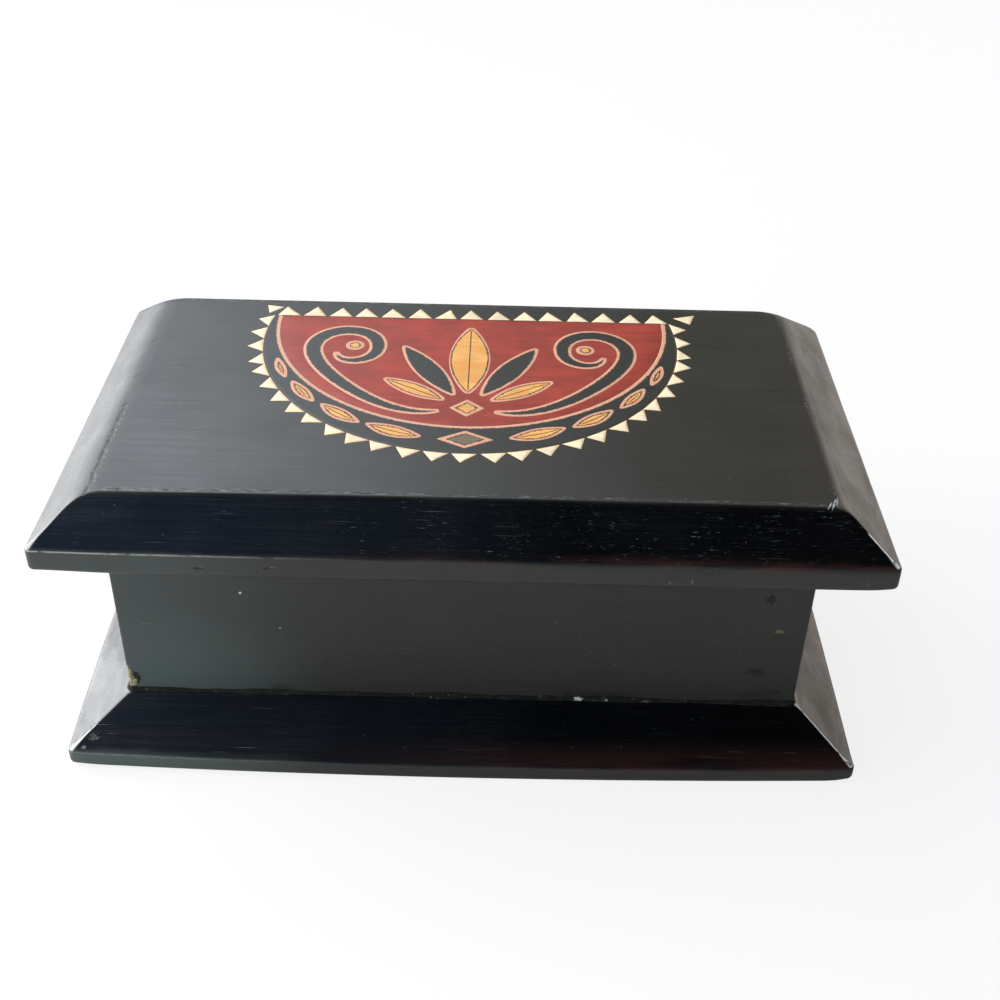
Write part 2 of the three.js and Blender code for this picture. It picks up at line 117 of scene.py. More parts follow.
# Marks of use: middle and reach in millimetres, raggedness, turn about Z in
# degrees, stain and depth in millimetres
WALL_MARKS = (
    ((78.3, -44.9, 38.1), (1.1, 1, 0.6), 1.0, 0, TAN_STAIN, 0.0),
    ((-55.0, -44.9, 46.8), (0.45, 1, 0.4), 0.6, 0, SCUFF, 0.0),
    ((-46.1, -44.9, 35.7), (0.3, 1, 0.3), 0.6, 0, FAINT_SCUFF, 0.0),
    ((-79.6, -44.9, 36.3), (1.2, 1, 0.3), 1.0, 0, DIM_SCUFF, 0.0),
    ((74.8, -44.9, 48.4), (1.0, 1, 1.3), 1.7, 0, DARK_STAIN, 0.1),
    ((-84.2, -44.9, 17.6), (1.0, 1, 2.4), 0.8, 0, DARK_STAIN, 0.3),
    ((-86.3, -44.9, 19.4), (0.9, 1.6, 2.6), 0.9, 0, RAW_WOOD, 0.3),
    ((-85.8, -44.9, 16.3), (1.5, 1.6, 2.1), 0.9, 0, RAW_WOOD, 0.3),
    ((74, -44.9, 16.6), (5, 1, 0.6), 0.6, 0, DARK_STAIN, 0.6),
    ((79.5, -44.9, 17.8), (3, 1, 0.5), 0.8, 0, DARK_STAIN, 0.5),
    ((74, -44.9, 24.5), (2.2, 1, 1.1), 1.5, 0, DARK_STAIN, 0.3),
)
FOOT_MARKS = (
    ((29.2, -45.4, 14.2), (1.1, 1.6, 1.0), 1.2, 0, PALE_CHIP, 0.0),
    ((36.6, -45.4, 14), (0.5, 1.2, 0.3), 0.8, 0, GREY_CHIP, 0.0),
    ((47, -45.4, 13.9), (1.4, 1, 0.25), 1.0, 0, BROWN_SMEAR, 0.0),
)
BASE_MARKS = (
    ((-94.4, -56.6, 6.9), (1.0, 3, 0.5), 2.0, 0, ROUGH_PATCH, 0.15),
    ((-96.4, -58.2, 5.4), (0.6, 1.4, 0.3), 1.4, 0, DULL_CHIP, 0.1),
)
LID_MARKS = (
    ((83.9, -46.6, 78.4), (0.2, 1.3, 1), 0.9, -28, SOFT_SCUFF, 0.0),
    ((85.0, -45.9, 78.4), (0.26, 2.2, 1), 0.9, -20, SOFT_SCUFF, 0.0),
    ((85.9, -45.0, 78.4), (0.2, 1.6, 1), 0.9, -12, SOFT_SCUFF, 0.0),
    ((-86.8, 23.3, 77.5), (1.5, 0.24, 3), 0.4, 38, DARK_STAIN, 0.2),
    ((-87.3, 5.0, 77.5), (1.2, 0.2, 3), 0.4, 42, DARK_STAIN, 0.15),
    ((-87.5, -9.6, 77.5), (1.5, 0.26, 3), 0.4, 38, DARK_STAIN, 0.25),
    ((-61.0, -58.7, 65.5), (1.1, 1, 0.3), 1.7, 0, DARK_STAIN, 0.12),
    ((-59.4, -58.7, 65.9), (0.8, 1, 0.2), 1.7, 0, CHIP_RIM, 0.0),
    ((-45.0, -58.7, 66.0), (1.0, 1, 0.3), 1.7, 0, DARK_STAIN, 0.12),
    ((-43.3, -58.7, 66.3), (0.7, 1, 0.2), 1.7, 0, CHIP_RIM, 0.0),
    ((47.3, -58.7, 64.3), (0.35, 1, 0.6), 0.5, 0, THIN_SCUFF, 0.0),
    ((52.3, -58.7, 64.9), (0.28, 1, 1.1), 0.5, 0, THIN_SCUFF, 0.0),
    ((92.5, -58.7, 65.2), (0.2, 1, 1.0), 0.5, 0, ROSY_SCUFF, 0.0),
)

# Points along the sides and round the corners of a board's rings
LONG_STEPS = 140
SHORT_STEPS = 84
CORNER_TURNS = np.linspace(0, 90, 9)[1:-1]

# Points round a hole, and the angle in degrees from which an edge stays sharp
ROUND_STEPS = 32
CREASE = 35.0

# How far above and below a bevel's foot its rounding reaches
KNEE_REACH = 1.9 * MM

# How far the walls are shifted along X
WALL_SHIFT = -0.65 * MM

# Thickness of a hinge's leaf and of a veneer, and how far a veneer's edge is let down
LEAF_THICKNESS = 1 * MM
VENEER_THICKNESS = 0.3 * MM
VENEER_ARRIS = 0.04 * MM

# Places and thicknesses taken from the frame
BASE_LOW, BASE_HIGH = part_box("base_board")
LID_LOW, LID_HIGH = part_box("lid_board")
WALL_LOW, WALL_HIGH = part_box("front_wall")
BACK_FACE = -WALL_LOW.y
HALF_BODY = WALL_HIGH.x
WALL_THICKNESS = WALL_HIGH.y - WALL_LOW.y
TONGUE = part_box("left_wall")[0].y - WALL_LOW.y
HINGE_LINE = frame["joints"][0]["pos_m"]

# The medallion's setting out, the same as that of the solids
DISC_X = -0.9 * MM
DISC_Y = 27.6 * MM
DISC_RADIUS = 56.1 * MM
CHORD_Y = 38.7 * MM
BAND_RISE = 9 * MM
BAND_RADIUS = 53 * MM
PALMETTE_Y = -8 * MM
PETAL_ROOT = 7 * MM
LONE_TEETH = {
    "lone_tooth_left": ((-59, 44.8), (-58, 40.1), (-54.2, 43.8)),
    "lone_tooth_right": ((55.9, 42.3), (60.4, 38.9), (62.1, 44.3)),
}


def size(title, description, default):
    return FloatProperty(name=title, description=description, default=default, min=0.0,
                         unit="LENGTH", subtype="DISTANCE", precision=5)


def count(title, description, default, least):
    return IntProperty(name=title, description=description, default=default, min=least)


def colour(title, description, default):
    return FloatVectorProperty(name=title, description=description, default=default,
                               subtype="COLOR", size=3, min=0.0, max=1.0)


class TrinketBoxSizes(bpy.types.PropertyGroup):
    """Sizes of the box that its looks depend on."""
    lid_band: size("Lid band", "Height of the straight edge below the lid's bevel", 6.2 * MM)
    base_band: size("Base band", "Height of the straight edge below the base's bevel", 4.5 * MM)
    front_bevel: size("Front bevel", "Width in plan of the lid's front and back bevels", 10.7 * MM)
    left_bevel: size("Left bevel", "Width in plan of the lid's left bevel", 11.2 * MM)
    right_bevel: size("Right bevel", "Width in plan of the lid's right bevel", 12.3 * MM)
    end_shoulder: size("End shoulder", "Half width of the round-over at the lid's left end", 4.2 * MM)
    front_shoulder: size("Front shoulder", "Half width of the round-over at the lid's front", 0.8 * MM)
    crisp_shoulder: size("Crisp shoulder", "Half width of the round-over of a crisp arris", 0.4 * MM)
    bottom_arris: size("Bottom arris", "Radius of a board's lower edge", 1.3 * MM)
    board_corner: size("Board corner", "Radius of a board's upright corners", 1.6 * MM)
    ridge_corner: size("Ridge corner", "Radius of the mitred ridges between two bevels", 0.55 * MM)
    back_left_corner: size("Back left corner", "Radius of the lid's back left corner", 3.4 * MM)
    back_right_corner: size("Back right corner", "Radius of the lid's back right corner", 6 * MM)
    body_corner: size("Body corner", "Radius of the upright corners of the walls", 0.8 * MM)
    wobble: size("Wobble", "How far hand work strays from a true line", 0.09 * MM)
    foot_fillet: size("Foot fillet", "Width of the glue line along the foot of the walls", 0.75 * MM)
    outline: size("Outline", "Width of the pale line round each motif", 1.15 * MM)


class TrinketBoxColours(bpy.types.PropertyGroup):
    """Colours of the finishes, linear."""
    lacquer: colour("Lacquer", "Black lacquer", (0.0011, 0.0011, 0.0012))
    dust: colour("Pore dust", "Dust and wax in the open pores of the bevels", (0.17, 0.18, 0.19))
    haze: colour("Haze", "Dust in the dull paint of the walls and edges", (0.012, 0.013, 0.004))
    # Painted light: a blue-green brightening painted on the left end of the front faces
    painted_light: colour("Painted_light", "Blue-green bloom at the left end of the front", (0.021, 0.033, 0.032))
    worn: colour("Worn lacquer", "Lacquer rubbed thin over red-brown wood", (0.024, 0.009, 0.0075))
    red: colour("Red veneer", "The medallion's field", (0.25, 0.023, 0.012))
    red_wash: colour("Red wash", "The browner clouds in the red", (0.18, 0.018, 0.01))
    ochre: colour("Ochre veneer", "Petals and leaves", (0.6, 0.31, 0.085))
    ochre_wash: colour("Ochre wash", "The orange clouds in the ochre", (0.55, 0.22, 0.045))
    cream: colour("Cream veneer", "The saw teeth", (0.67, 0.57, 0.4))
    brown: colour("Brown veneer", "The lozenge", (0.13, 0.1, 0.065))
    line: colour("Outline", "The pale line round each motif", (0.52, 0.27, 0.17))
    scorched: colour("Scorched line", "The dark hairline inside the outline", (0.022, 0.014, 0.01))
    bare_wood: colour("Bare wood", "The unlacquered inside", (0.46, 0.3, 0.165))
    brass: colour("Brass", "Hinges and their screws", (0.69, 0.5, 0.23))
    steel: colour("Steel", "Screws under the base", (0.5, 0.5, 0.48))
    floor: colour("Floor", "The table top", (0.72, 0.69, 0.66))


class TrinketBoxOrnament(bpy.types.PropertyGroup):
    """Counts and lengths of the medallion's teeth."""
    arc_teeth: count("Arc teeth", "Saw teeth round the arc", 29, 3)
    chord_teeth: count("Chord teeth", "Saw teeth along the chord", 15, 1)
    arc_tooth: size("Arc tooth", "Length of a tooth on the arc", 3.9 * MM)
    chord_tooth: size("Chord tooth", "Length of a tooth on the chord", 5.2 * MM)
    border: size("Border", "Distance from the disc's edge to the teeth", 0.28 * MM)
    rise: size("Rise", "How far a veneer stands above the lacquer", 0.03 * MM)


def sizes():
    return bpy.context.scene.trinket_box_sizes


def colours():
    return bpy.context.scene.trinket_box_colours


def ornament():
    return bpy.context.scene.trinket_box_ornament


# Surfaces

def shell(rows, **values):
    """A closed shell from rings of points, as (points, faces, values at the points).

    Point c of ring r joins point c + 1 of its own ring and point c of ring
    r + 1; the first and the last ring are capped.
    """
    count, around = rows.shape[:2]
    index = np.arange(count * around).reshape(count, around)
    ahead = np.roll(index, -1, axis=1)
    quads = np.stack([index[:-1], ahead[:-1], ahead[1:], index[1:]], axis=-1).reshape(-1, 4)
    faces = quads.tolist() + [index[0, ::-1].tolist(), index[-1].tolist()]
    flat = {name: np.broadcast_to(value, (count, around)).ravel() for name, value in values.items()}
    return rows.reshape(-1, 3), faces, flat


def joined(shells):
    """The points of several shells in one list, and their faces in another."""
    starts = np.cumsum([0] + [len(points) for points, _, _ in shells])
    faces = [[corner + int(start) for corner in face]
             for start, (_, part, _) in zip(starts, shells) for face in part]
    return np.concatenate([points for points, _, _ in shells]).tolist(), faces


def piece(name, shells, finish, body, nodes=()):
    """One object from closed shells, with their values as attributes of the points."""
    points, faces = joined(shells)
    mesh = bpy.data.meshes.new(name)
    mesh.from_pydata(points, [], faces)
    for key in shells[0][2]:
        attribute = mesh.attributes.new(key, "FLOAT", "POINT")
        attribute.data.foreach_set("value", np.concatenate([values[key] for _, _, values in shells]))
    smooth(mesh)
    mesh.materials.append(finish)
    made = bpy.data.objects.new(name, mesh)
    bpy.context.scene.collection.objects.link(made)
    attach(made, body)
    if nodes:
        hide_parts(*nodes)
    return made


def smooth(mesh):
    mesh.polygons.foreach_set("use_smooth", np.ones(len(mesh.polygons), bool))
    mesh.set_sharp_from_angle(angle=math.radians(CREASE))


def cut(made, cutters):
    """Cuts closed shells out of a piece and keeps the result as its mesh."""
    points, faces = joined(cutters)
    tool = bpy.data.objects.new("cutter", bpy.data.meshes.new("cutter"))
    tool.data.from_pydata(points, [], faces)
    bpy.context.scene.collection.objects.link(tool)
    modifier = made.modifiers.new("cut", "BOOLEAN")
    modifier.operation = "DIFFERENCE"
    modifier.solver = "EXACT"
    modifier.object = tool
    evaluated = made.evaluated_get(bpy.context.evaluated_depsgraph_get())
    result = bpy.data.meshes.new_from_object(evaluated)
    made.modifiers.clear()
    made.data = result
    smooth(result)
    bpy.data.objects.remove(tool)


def waves(points, scale, seed):
    """A smooth wander at each point: the mean of six sine waves in random directions."""
    count = 6
    rng = np.random.default_rng(seed)
    total = np.zeros(points.shape[:-1])
    for _ in range(count):
        direction = rng.normal(size=3)
        direction *= rng.uniform(0.5, 1.6) * math.tau / (scale * np.linalg.norm(direction))
        total += np.sin(points @ direction + rng.uniform(0, math.tau))
    return total / count


def rounded_rings(left, right, front, back, radius, height):
    """Rounded rectangles, one for each entry of the arrays, counter-clockwise from the front left.

    radius has one row for all corners, or four: front right, back right, back
    left and front left.
    """
    left, right, front, back, height = [
        np.asarray(value, float)[:, None] for value in (left, right, front, back, height)]
    front_right, back_right, back_left, front_left = np.broadcast_to(radius, (4, len(left)))[..., None]
    long_way = np.linspace(0, 1, LONG_STEPS)[None, :]
    short_way = np.linspace(0, 1, SHORT_STEPS)[None, :]
    turn = np.radians(CORNER_TURNS)[None, :]

    def side(x0, y0, x1, y1, way):
        return np.stack([x0 + (x1 - x0) * way, y0 + (y1 - y0) * way], axis=-1)

    def corner(x, y, round_over, start):
        angle = turn + math.radians(start)
        return np.stack([x + round_over * np.cos(angle), y + round_over * np.sin(angle)], axis=-1)

    plan = np.concatenate([
        side(left + front_left, front, right - front_right, front, long_way),
        corner(right - front_right, front + front_right, front_right, -90),
        side(right, front + front_right, right, back - back_right, short_way),
        corner(right - back_right, back - back_right, back_right, 0),
        side(right - back_right, back, left + back_left, back, long_way),
        corner(left + back_left, back - back_left, back_left, 90),
        side(left, back - back_left, left, front + front_left, short_way),
        corner(left + front_left, front + front_left, front_left, 180),
    ], axis=1)
    return np.concatenate([plan, np.broadcast_to(height[..., None], plan.shape[:2] + (1,))], axis=-1)


def end_columns():
    """1 on the two ends and 0 on the front and back, for the points of rounded_rings.

    It rises evenly round the corners.
    """
    climb = CORNER_TURNS / 90
    half = np.concatenate([np.zeros(LONG_STEPS), climb, np.ones(SHORT_STEPS), climb[::-1]])
    return np.tile(half, 2)


def bevel_inset(height, run, rise, shoulder):
    """How far a bevel has come in at a height above its foot.

    It climbs straight, then follows a parabola that starts a shoulder before
    the bevel's end in plan and reaches the flat top a shoulder after it.
    """
    drop = shoulder * rise / run
    below_top = np.clip((rise - height) / drop, 0, 1)
    curved = run - shoulder + 2 * shoulder * (1 - np.sqrt(below_top))
    return np.where(height < rise - drop, height * run / rise, curved)


def board_profile(thickness, band, runs, shoulders, corners):
    """Heights, four insets and four corner radii of a board's rings, from its underside to its top.

    runs and shoulders are those of the left, right, front and back bevels.
    corners has a pair for each corner, in the order of rounded_rings: the
    radius of its upright edge and that of its mitred ridge.
    """
    arris = sizes().bottom_arris
    lift = 0.35 * MM
    rise = thickness - band
    turn = np.radians(np.linspace(0, 90, 7))
    under = np.array([12, 5, 0.8]) * MM
    ease = np.linspace(0, 1, 6)[1:]
    drop = shoulders[0] * rise / runs[0]
    crisp = min(shoulders[2:]) * rise / runs[2]
    slope = np.concatenate([
        np.linspace(lift, rise - drop, 14)[1:],
        rise - drop + (drop - crisp) * (1 - (1 - np.linspace(0, 1, 12)[1:]) ** 2),
        rise - crisp * (1 - np.linspace(0, 1, 9)[1:]) ** 2,
    ])
    inner = np.array([0.25, 0.5, 0.8, 1.6, 5, 12]) * MM
    band_heights = np.linspace(arris, band - lift, 7)[1:]
    knee = band - lift * (1 - ease) ** 2 + lift * ease ** 2
    height = np.concatenate([
        0 * under, arris * (1 - np.cos(turn)), band_heights, knee, band + slope, thickness + 0 * inner])
    insets = []
    for run, shoulder in zip(runs, shoulders):
        insets.append(np.concatenate([
            arris + under, arris * (1 - np.sin(turn)), 0 * band_heights, ease ** 2 * lift * run / rise,
            bevel_inset(slope, run, rise, shoulder), run + shoulder + inner]))
    share = np.clip((height - band) / rise, 0, 1)
    radii = []
    for upright, ridge in corners:
        radius = upright + (ridge - upright) * np.clip(share * 4, 0, 1)
        radius = np.where(height < arris, np.maximum(radius - insets[0], 0.2 * MM), radius)
        last_tenth = np.clip(share * 10 - 9, 0, 1)
        radii.append(radius + last_tenth * 0.9 * MM)
    return height, insets, np.array(radii)


def wear_of(height, inset, band):
    """1 on a board's lower arrises and 0 away from them, by height and by distance in from the edge."""
    near_band = np.exp(-((height - band) / (1.1 * MM)) ** 2)
    near_foot = np.exp(-(height / (1.2 * MM)) ** 2 - (inset / (2 * MM)) ** 2)
    return near_band + near_foot


def board_values(height, inset, rise, band, top_edge, in_front, shape):
    """What the lacquer needs at the points of a board's rings.

    inset is that of the front bevel, rise the share of a bevel's height,
    top_edge how far in the flat top begins, and in_front true on the front half.
    """
    end = end_columns()[None, :]
    slope = np.clip(rise * 12, 0, 1) * np.clip((1 - rise) * 12, 0, 1)
    edge_face = np.clip(1 - rise * 20, 0, 1) * (inset < 3 * MM)[:, None]
    crest = np.exp(-((inset - top_edge - 0.4 * MM) / (0.45 * MM)) ** 2)[:, None]
    # lip: pale wear along the foot of the front bevel, partly a painted highlight
    lip = shape["lip"] * np.exp(-((height - band) / (0.13 * MM)) ** 2)[:, None]
    # on_ridge and shine: a painted highlight along the middle of the front mitres
    on_ridge = np.clip(1.25 * np.exp(-((end - 0.5) / 0.3) ** 2) - 0.25, 0, 1)
    corner = len(CORNER_TURNS)
    right_mitre, left_mitre = slice(LONG_STEPS, LONG_STEPS + corner), slice(-corner, None)
    shine = np.zeros(in_front.shape)
    for mitre, reach, strength in zip((right_mitre, left_mitre), shape["ridge_shine"], (1.0, 0.35)):
        shine[:, mitre] = strength * (on_ridge * (rise > 0.01) * (rise < reach))[:, mitre]
    return {
        "wear": np.clip(wear_of(height, inset, band), 0, 1)[:, None],
        "crest": crest * (1 - end),
        "slope": slope * (1 - end),
        "low_slope": np.clip(1 - rise * 2.2, 0, 1) * slope * (1 - end),
        "end": slope * end,
        "lip": lip * (1 - end),
        "edge_face": edge_face,
        "upright_front": edge_face * (1 - end) * in_front,
        "shine": shine,
    }


def bevelled_board(name, low, high, band, runs, shoulders, corners, shape, seed, finish, body):
    """A board as rings from its underside up its edge and bevels to its top, slightly uneven.

    shape has six entries. bows are how far the left, right, front and back
    edges swell outward at their middles, along parabolas that flatten out up
    the bevels. hollow is how far the front bevel's top edge draws in at its
    middle. knee is how far the front bevel's foot is rounded away on its right
    half. worn lists (x, y, reach, lift): places where the underside's edge is
    rubbed away, by a lift that fades with the distance and with the height.
    ridge_shine is how far up the right and the left front mitre a painted highlight runs, and lip how
    strong the pale wear and painted highlight along the foot of the front bevel are.
    """
    thickness = high.z - low.z
    height, insets, radius = board_profile(thickness, band, runs, shoulders, corners)
    left, right, front, back = insets
    rows = rounded_rings(low.x + left, high.x - right, low.y + front, high.y - back, radius,
                         low.z + height)
    plan = rows[..., :2]

    fade = np.clip(np.minimum(height / (2 * MM), (thickness - height) / (1.5 * MM)), 0, 1)[:, None]
    stray = sizes().wobble * waves(rows, 0.045, seed) * (0.35 + 0.65 * fade)
    core = 30 * MM
    outward = plan - np.clip(plan, [low.x + core, low.y + core], [high.x - core, high.y - core])
    outward /= np.maximum(np.linalg.norm(outward, axis=-1, keepdims=True), 1e-9)
    plan -= outward * (np.abs(stray) + 0.02 * MM)[..., None]

    rise = np.clip((height - band) / (thickness - band), 0, 1)[:, None]
    far_x, far_y = plan[..., 0] / high.x, plan[..., 1] / high.y
    bow_left, bow_right, bow_front, bow_back = shape["bows"]
    plan[..., 0] += np.where(far_x < 0, bow_left, bow_right) * far_x * (1 - far_y ** 2) * (1 - rise)
    plan[..., 1] += np.where(far_y < 0, bow_front, bow_back) * far_y * (1 - far_x ** 2) * (1 - rise)
    plan[..., 1] += shape["hollow"] * np.maximum(-far_y, 0) * (1 - far_x ** 2) * rise
    near_knee = np.clip(1 - np.abs(height - band) / KNEE_REACH, 0, 1)[:, None] ** 2
    toward_right = np.clip(far_x * 2.2 + 0.45, 0, 1)
    at_front = plan[..., 1] < low.y + 2 * MM
    plan[..., 1] += shape["knee"] * near_knee * toward_right * at_front
    for x, y, reach, lift in shape["worn"]:
        near = np.exp(-((plan[..., 0] - x) ** 2 + (plan[..., 1] - y) ** 2) / reach ** 2)
        rows[..., 2] += lift * near * np.clip(1 - (rows[..., 2] - low.z) / (1.6 * band), 0, 1)

    values = board_values(height, front, rise, band, runs[2] + shoulders[2], far_y < 0, shape)
    return piece(name, [shell(rows, **values)], finish, body, [name])


def lathe(x, y, profile):
    """A profile of (radius, height) pairs turned about an upright axis at x, y."""
    turn = np.linspace(0, math.tau, ROUND_STEPS, endpoint=False)[None, :]
    radius, height = [np.asarray(column)[:, None] for column in zip(*profile)]
    return np.stack([x + radius * np.cos(turn), y + radius * np.sin(turn), height + 0 * turn], axis=-1)


def block(low, high):
    """A plain box from its lowest and highest corners, as two rings."""
    x = np.array([low[0], high[0], high[0], low[0]])
    y = np.array([low[1], low[1], high[1], high[1]])
    return np.stack([np.stack([x, y, np.full(4, z)], axis=-1) for z in (low[2], high[2])])


def rod(radius, x0, x1):
    """A rod along X about the hinge line."""
    turn = np.linspace(0, math.tau, ROUND_STEPS, endpoint=False)
    y = HINGE_LINE[1] + radius * np.cos(turn)
    z = HINGE_LINE[2] + radius * np.sin(turn)
    return np.stack([np.stack([np.full(ROUND_STEPS, x), y, z], axis=-1) for x in (x0, x1)])


def long_wall(side, mortises, finish, name):
    """A front or back wall: a section across the wall carried along X.

    The section is as thick as the tongue near the ends, and its top is let
    down by a leaf's thickness over each mortise.
    """
    reach = HALF_BODY
    corner = sizes().body_corner
    low, top = WALL_LOW.z, WALL_HIGH.z
    step = 0.02 * MM
    arris = 0.25 * MM
    foot = 0.1 * MM
    leaf_depth = 8.3 * MM
    turn = np.radians(np.linspace(0, 90, 7))
    ends = reach - corner + corner * np.sin(turn)
    shoulder = reach - WALL_THICKNESS
    brinks = [edge + away for pair in mortises for edge in pair for away in (0, step)]
    stations = np.concatenate([
        np.linspace(0, shoulder - 1 * MM, 40), [shoulder, shoulder + step], ends, brinks])
    stations = np.unique(np.round(np.concatenate([stations, -stations]), 7))
    away = np.maximum(np.abs(stations) - (reach - corner), 0)
    outer = corner - np.sqrt(np.maximum(corner ** 2 - away ** 2, 0))
    inner = np.where(np.abs(stations) > shoulder + step / 2, TONGUE, WALL_THICKNESS)
    let_down = np.zeros(len(stations))
    for near, far in mortises:
        let_down[(np.abs(stations) > near) & (np.abs(stations) <= far)] = LEAF_THICKNESS
    climb = np.linspace(foot, top - low - arris, 16)
    one = np.ones_like(stations)
    columns = [(outer + foot, low * one)]
    columns += [(outer, (low + up) - let_down * (up / climb[-1])) for up in climb]
    columns += [
        (outer + arris, top - let_down),
        (np.minimum(leaf_depth * one, inner - 2 * step), top - let_down),
        (np.minimum((leaf_depth + step) * one, inner - step), top * one),
        (inner - arris, top * one),
        (inner, (top - arris) * one),
        (inner, (low + foot) * one),
        (inner - foot, low * one),
    ]
    across, height = (np.stack(column, axis=1) for column in zip(*columns))
    shifted = stations + WALL_SHIFT * (np.abs(stations) > reach - 3 * MM)
    x = np.broadcast_to(shifted[:, None], across.shape)
    rows = np.stack([x, side * (BACK_FACE - across), height], axis=-1)
    rows[..., 1] -= side * (0.05 * MM) * np.abs(waves(rows, 0.05, 11)) * (across < 0.01 * MM)
    upright_front = (across < 0.1 * MM) * (side < 0)
    if side < 0:
        rows, upright_front = rows[:, ::-1], upright_front[:, ::-1]
    wall = shell(rows, upright_front=upright_front)
    return piece(name, [wall], finish, "carcass", [name])


def side_wall(side, finish, name):
    """A side wall: a section across the wall carried along Y between the tongues."""
    low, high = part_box(name)
    outer, inner = (low.x, high.x) if side < 0 else (high.x, low.x)
    outer += WALL_SHIFT
    inward = -side
    arris = 0.12 * MM
    top_arris = 0.25 * MM
    foot = 0.1 * MM
    stations = np.concatenate([[low.y, low.y + arris], np.linspace(low.y + 2 * MM, high.y - 2 * MM, 40),
                               [high.y - arris, high.y]])
    one = np.ones_like(stations)
    sunk = np.zeros_like(stations)
    sunk[[0, -1]] = arris
    columns = [(outer + inward * (sunk + foot), low.z * one)]
    climb = np.linspace(low.z + foot, high.z - top_arris, 16)
    columns += [(outer + inward * sunk, z * one) for z in climb]
    columns += [
        (outer + inward * (sunk + top_arris), high.z * one),
        ((inner - inward * top_arris) * one, high.z * one),
        (inner * one, (high.z - top_arris) * one),
        (inner * one, low.z * one),
    ]
    across, height = (np.stack(column, axis=1) for column in zip(*columns))
    rows = np.stack([across, np.broadcast_to(stations[:, None], across.shape), height], axis=-1)
    if side < 0:
        rows = rows[:, ::-1]
    return piece(name, [shell(rows)], finish, "carcass", [name])


# Materials

class Nodes:
    """A node tree under construction. Each call adds nodes and returns the last one's output."""

    def __init__(self, tree):
        self.tree = tree

    def feed(self, socket, value):
        if isinstance(value, bpy.types.NodeSocket):
            self.tree.links.new(value, socket)
        elif socket.type == "RGBA":
            socket.default_value = (*value[:3], 1.0)
        else:
            socket.default_value = value

    def node(self, kind, inputs=None, out=0, **settings):
        made = self.tree.nodes.new("ShaderNode" + kind)
        for key, value in settings.items():
            setattr(made, key, value)
        for key, value in (inputs or {}).items():
            self.feed(made.inputs[key], value)
        return made.outputs[out]

    def math(self, operation, *values):
        return self.node("Math", dict(enumerate(values)), operation=operation)

    def times(self, first, *others):
        for other in others:
            first = self.math("MULTIPLY", first, other)
        return first

    def found(self, *kinds):
        """The tree's own node of one of the kinds."""
        return next(node for node in self.tree.nodes if node.type in kinds)

    def seen(self, mirrored=0.0):
        """1 for rays from the camera and through glass, and a share of it for mirrored ones."""
        path = self.node("LightPath").node
        shown = self.math("MAXIMUM", path.outputs["Is Camera Ray"], path.outputs["Is Transmission Ray"])
        if mirrored:
            shown = self.math("MAXIMUM", shown, self.times(path.outputs["Is Glossy Ray"], mirrored))
        return shown

    def show(self, share, plain, white):
        """Sends the plain shader to the output, with a share of the white one."""
        output = self.found("OUTPUT_MATERIAL", "OUTPUT_WORLD")
        self.feed(output.inputs["Surface"], self.node("MixShader", {0: share, 1: plain, 2: white}))


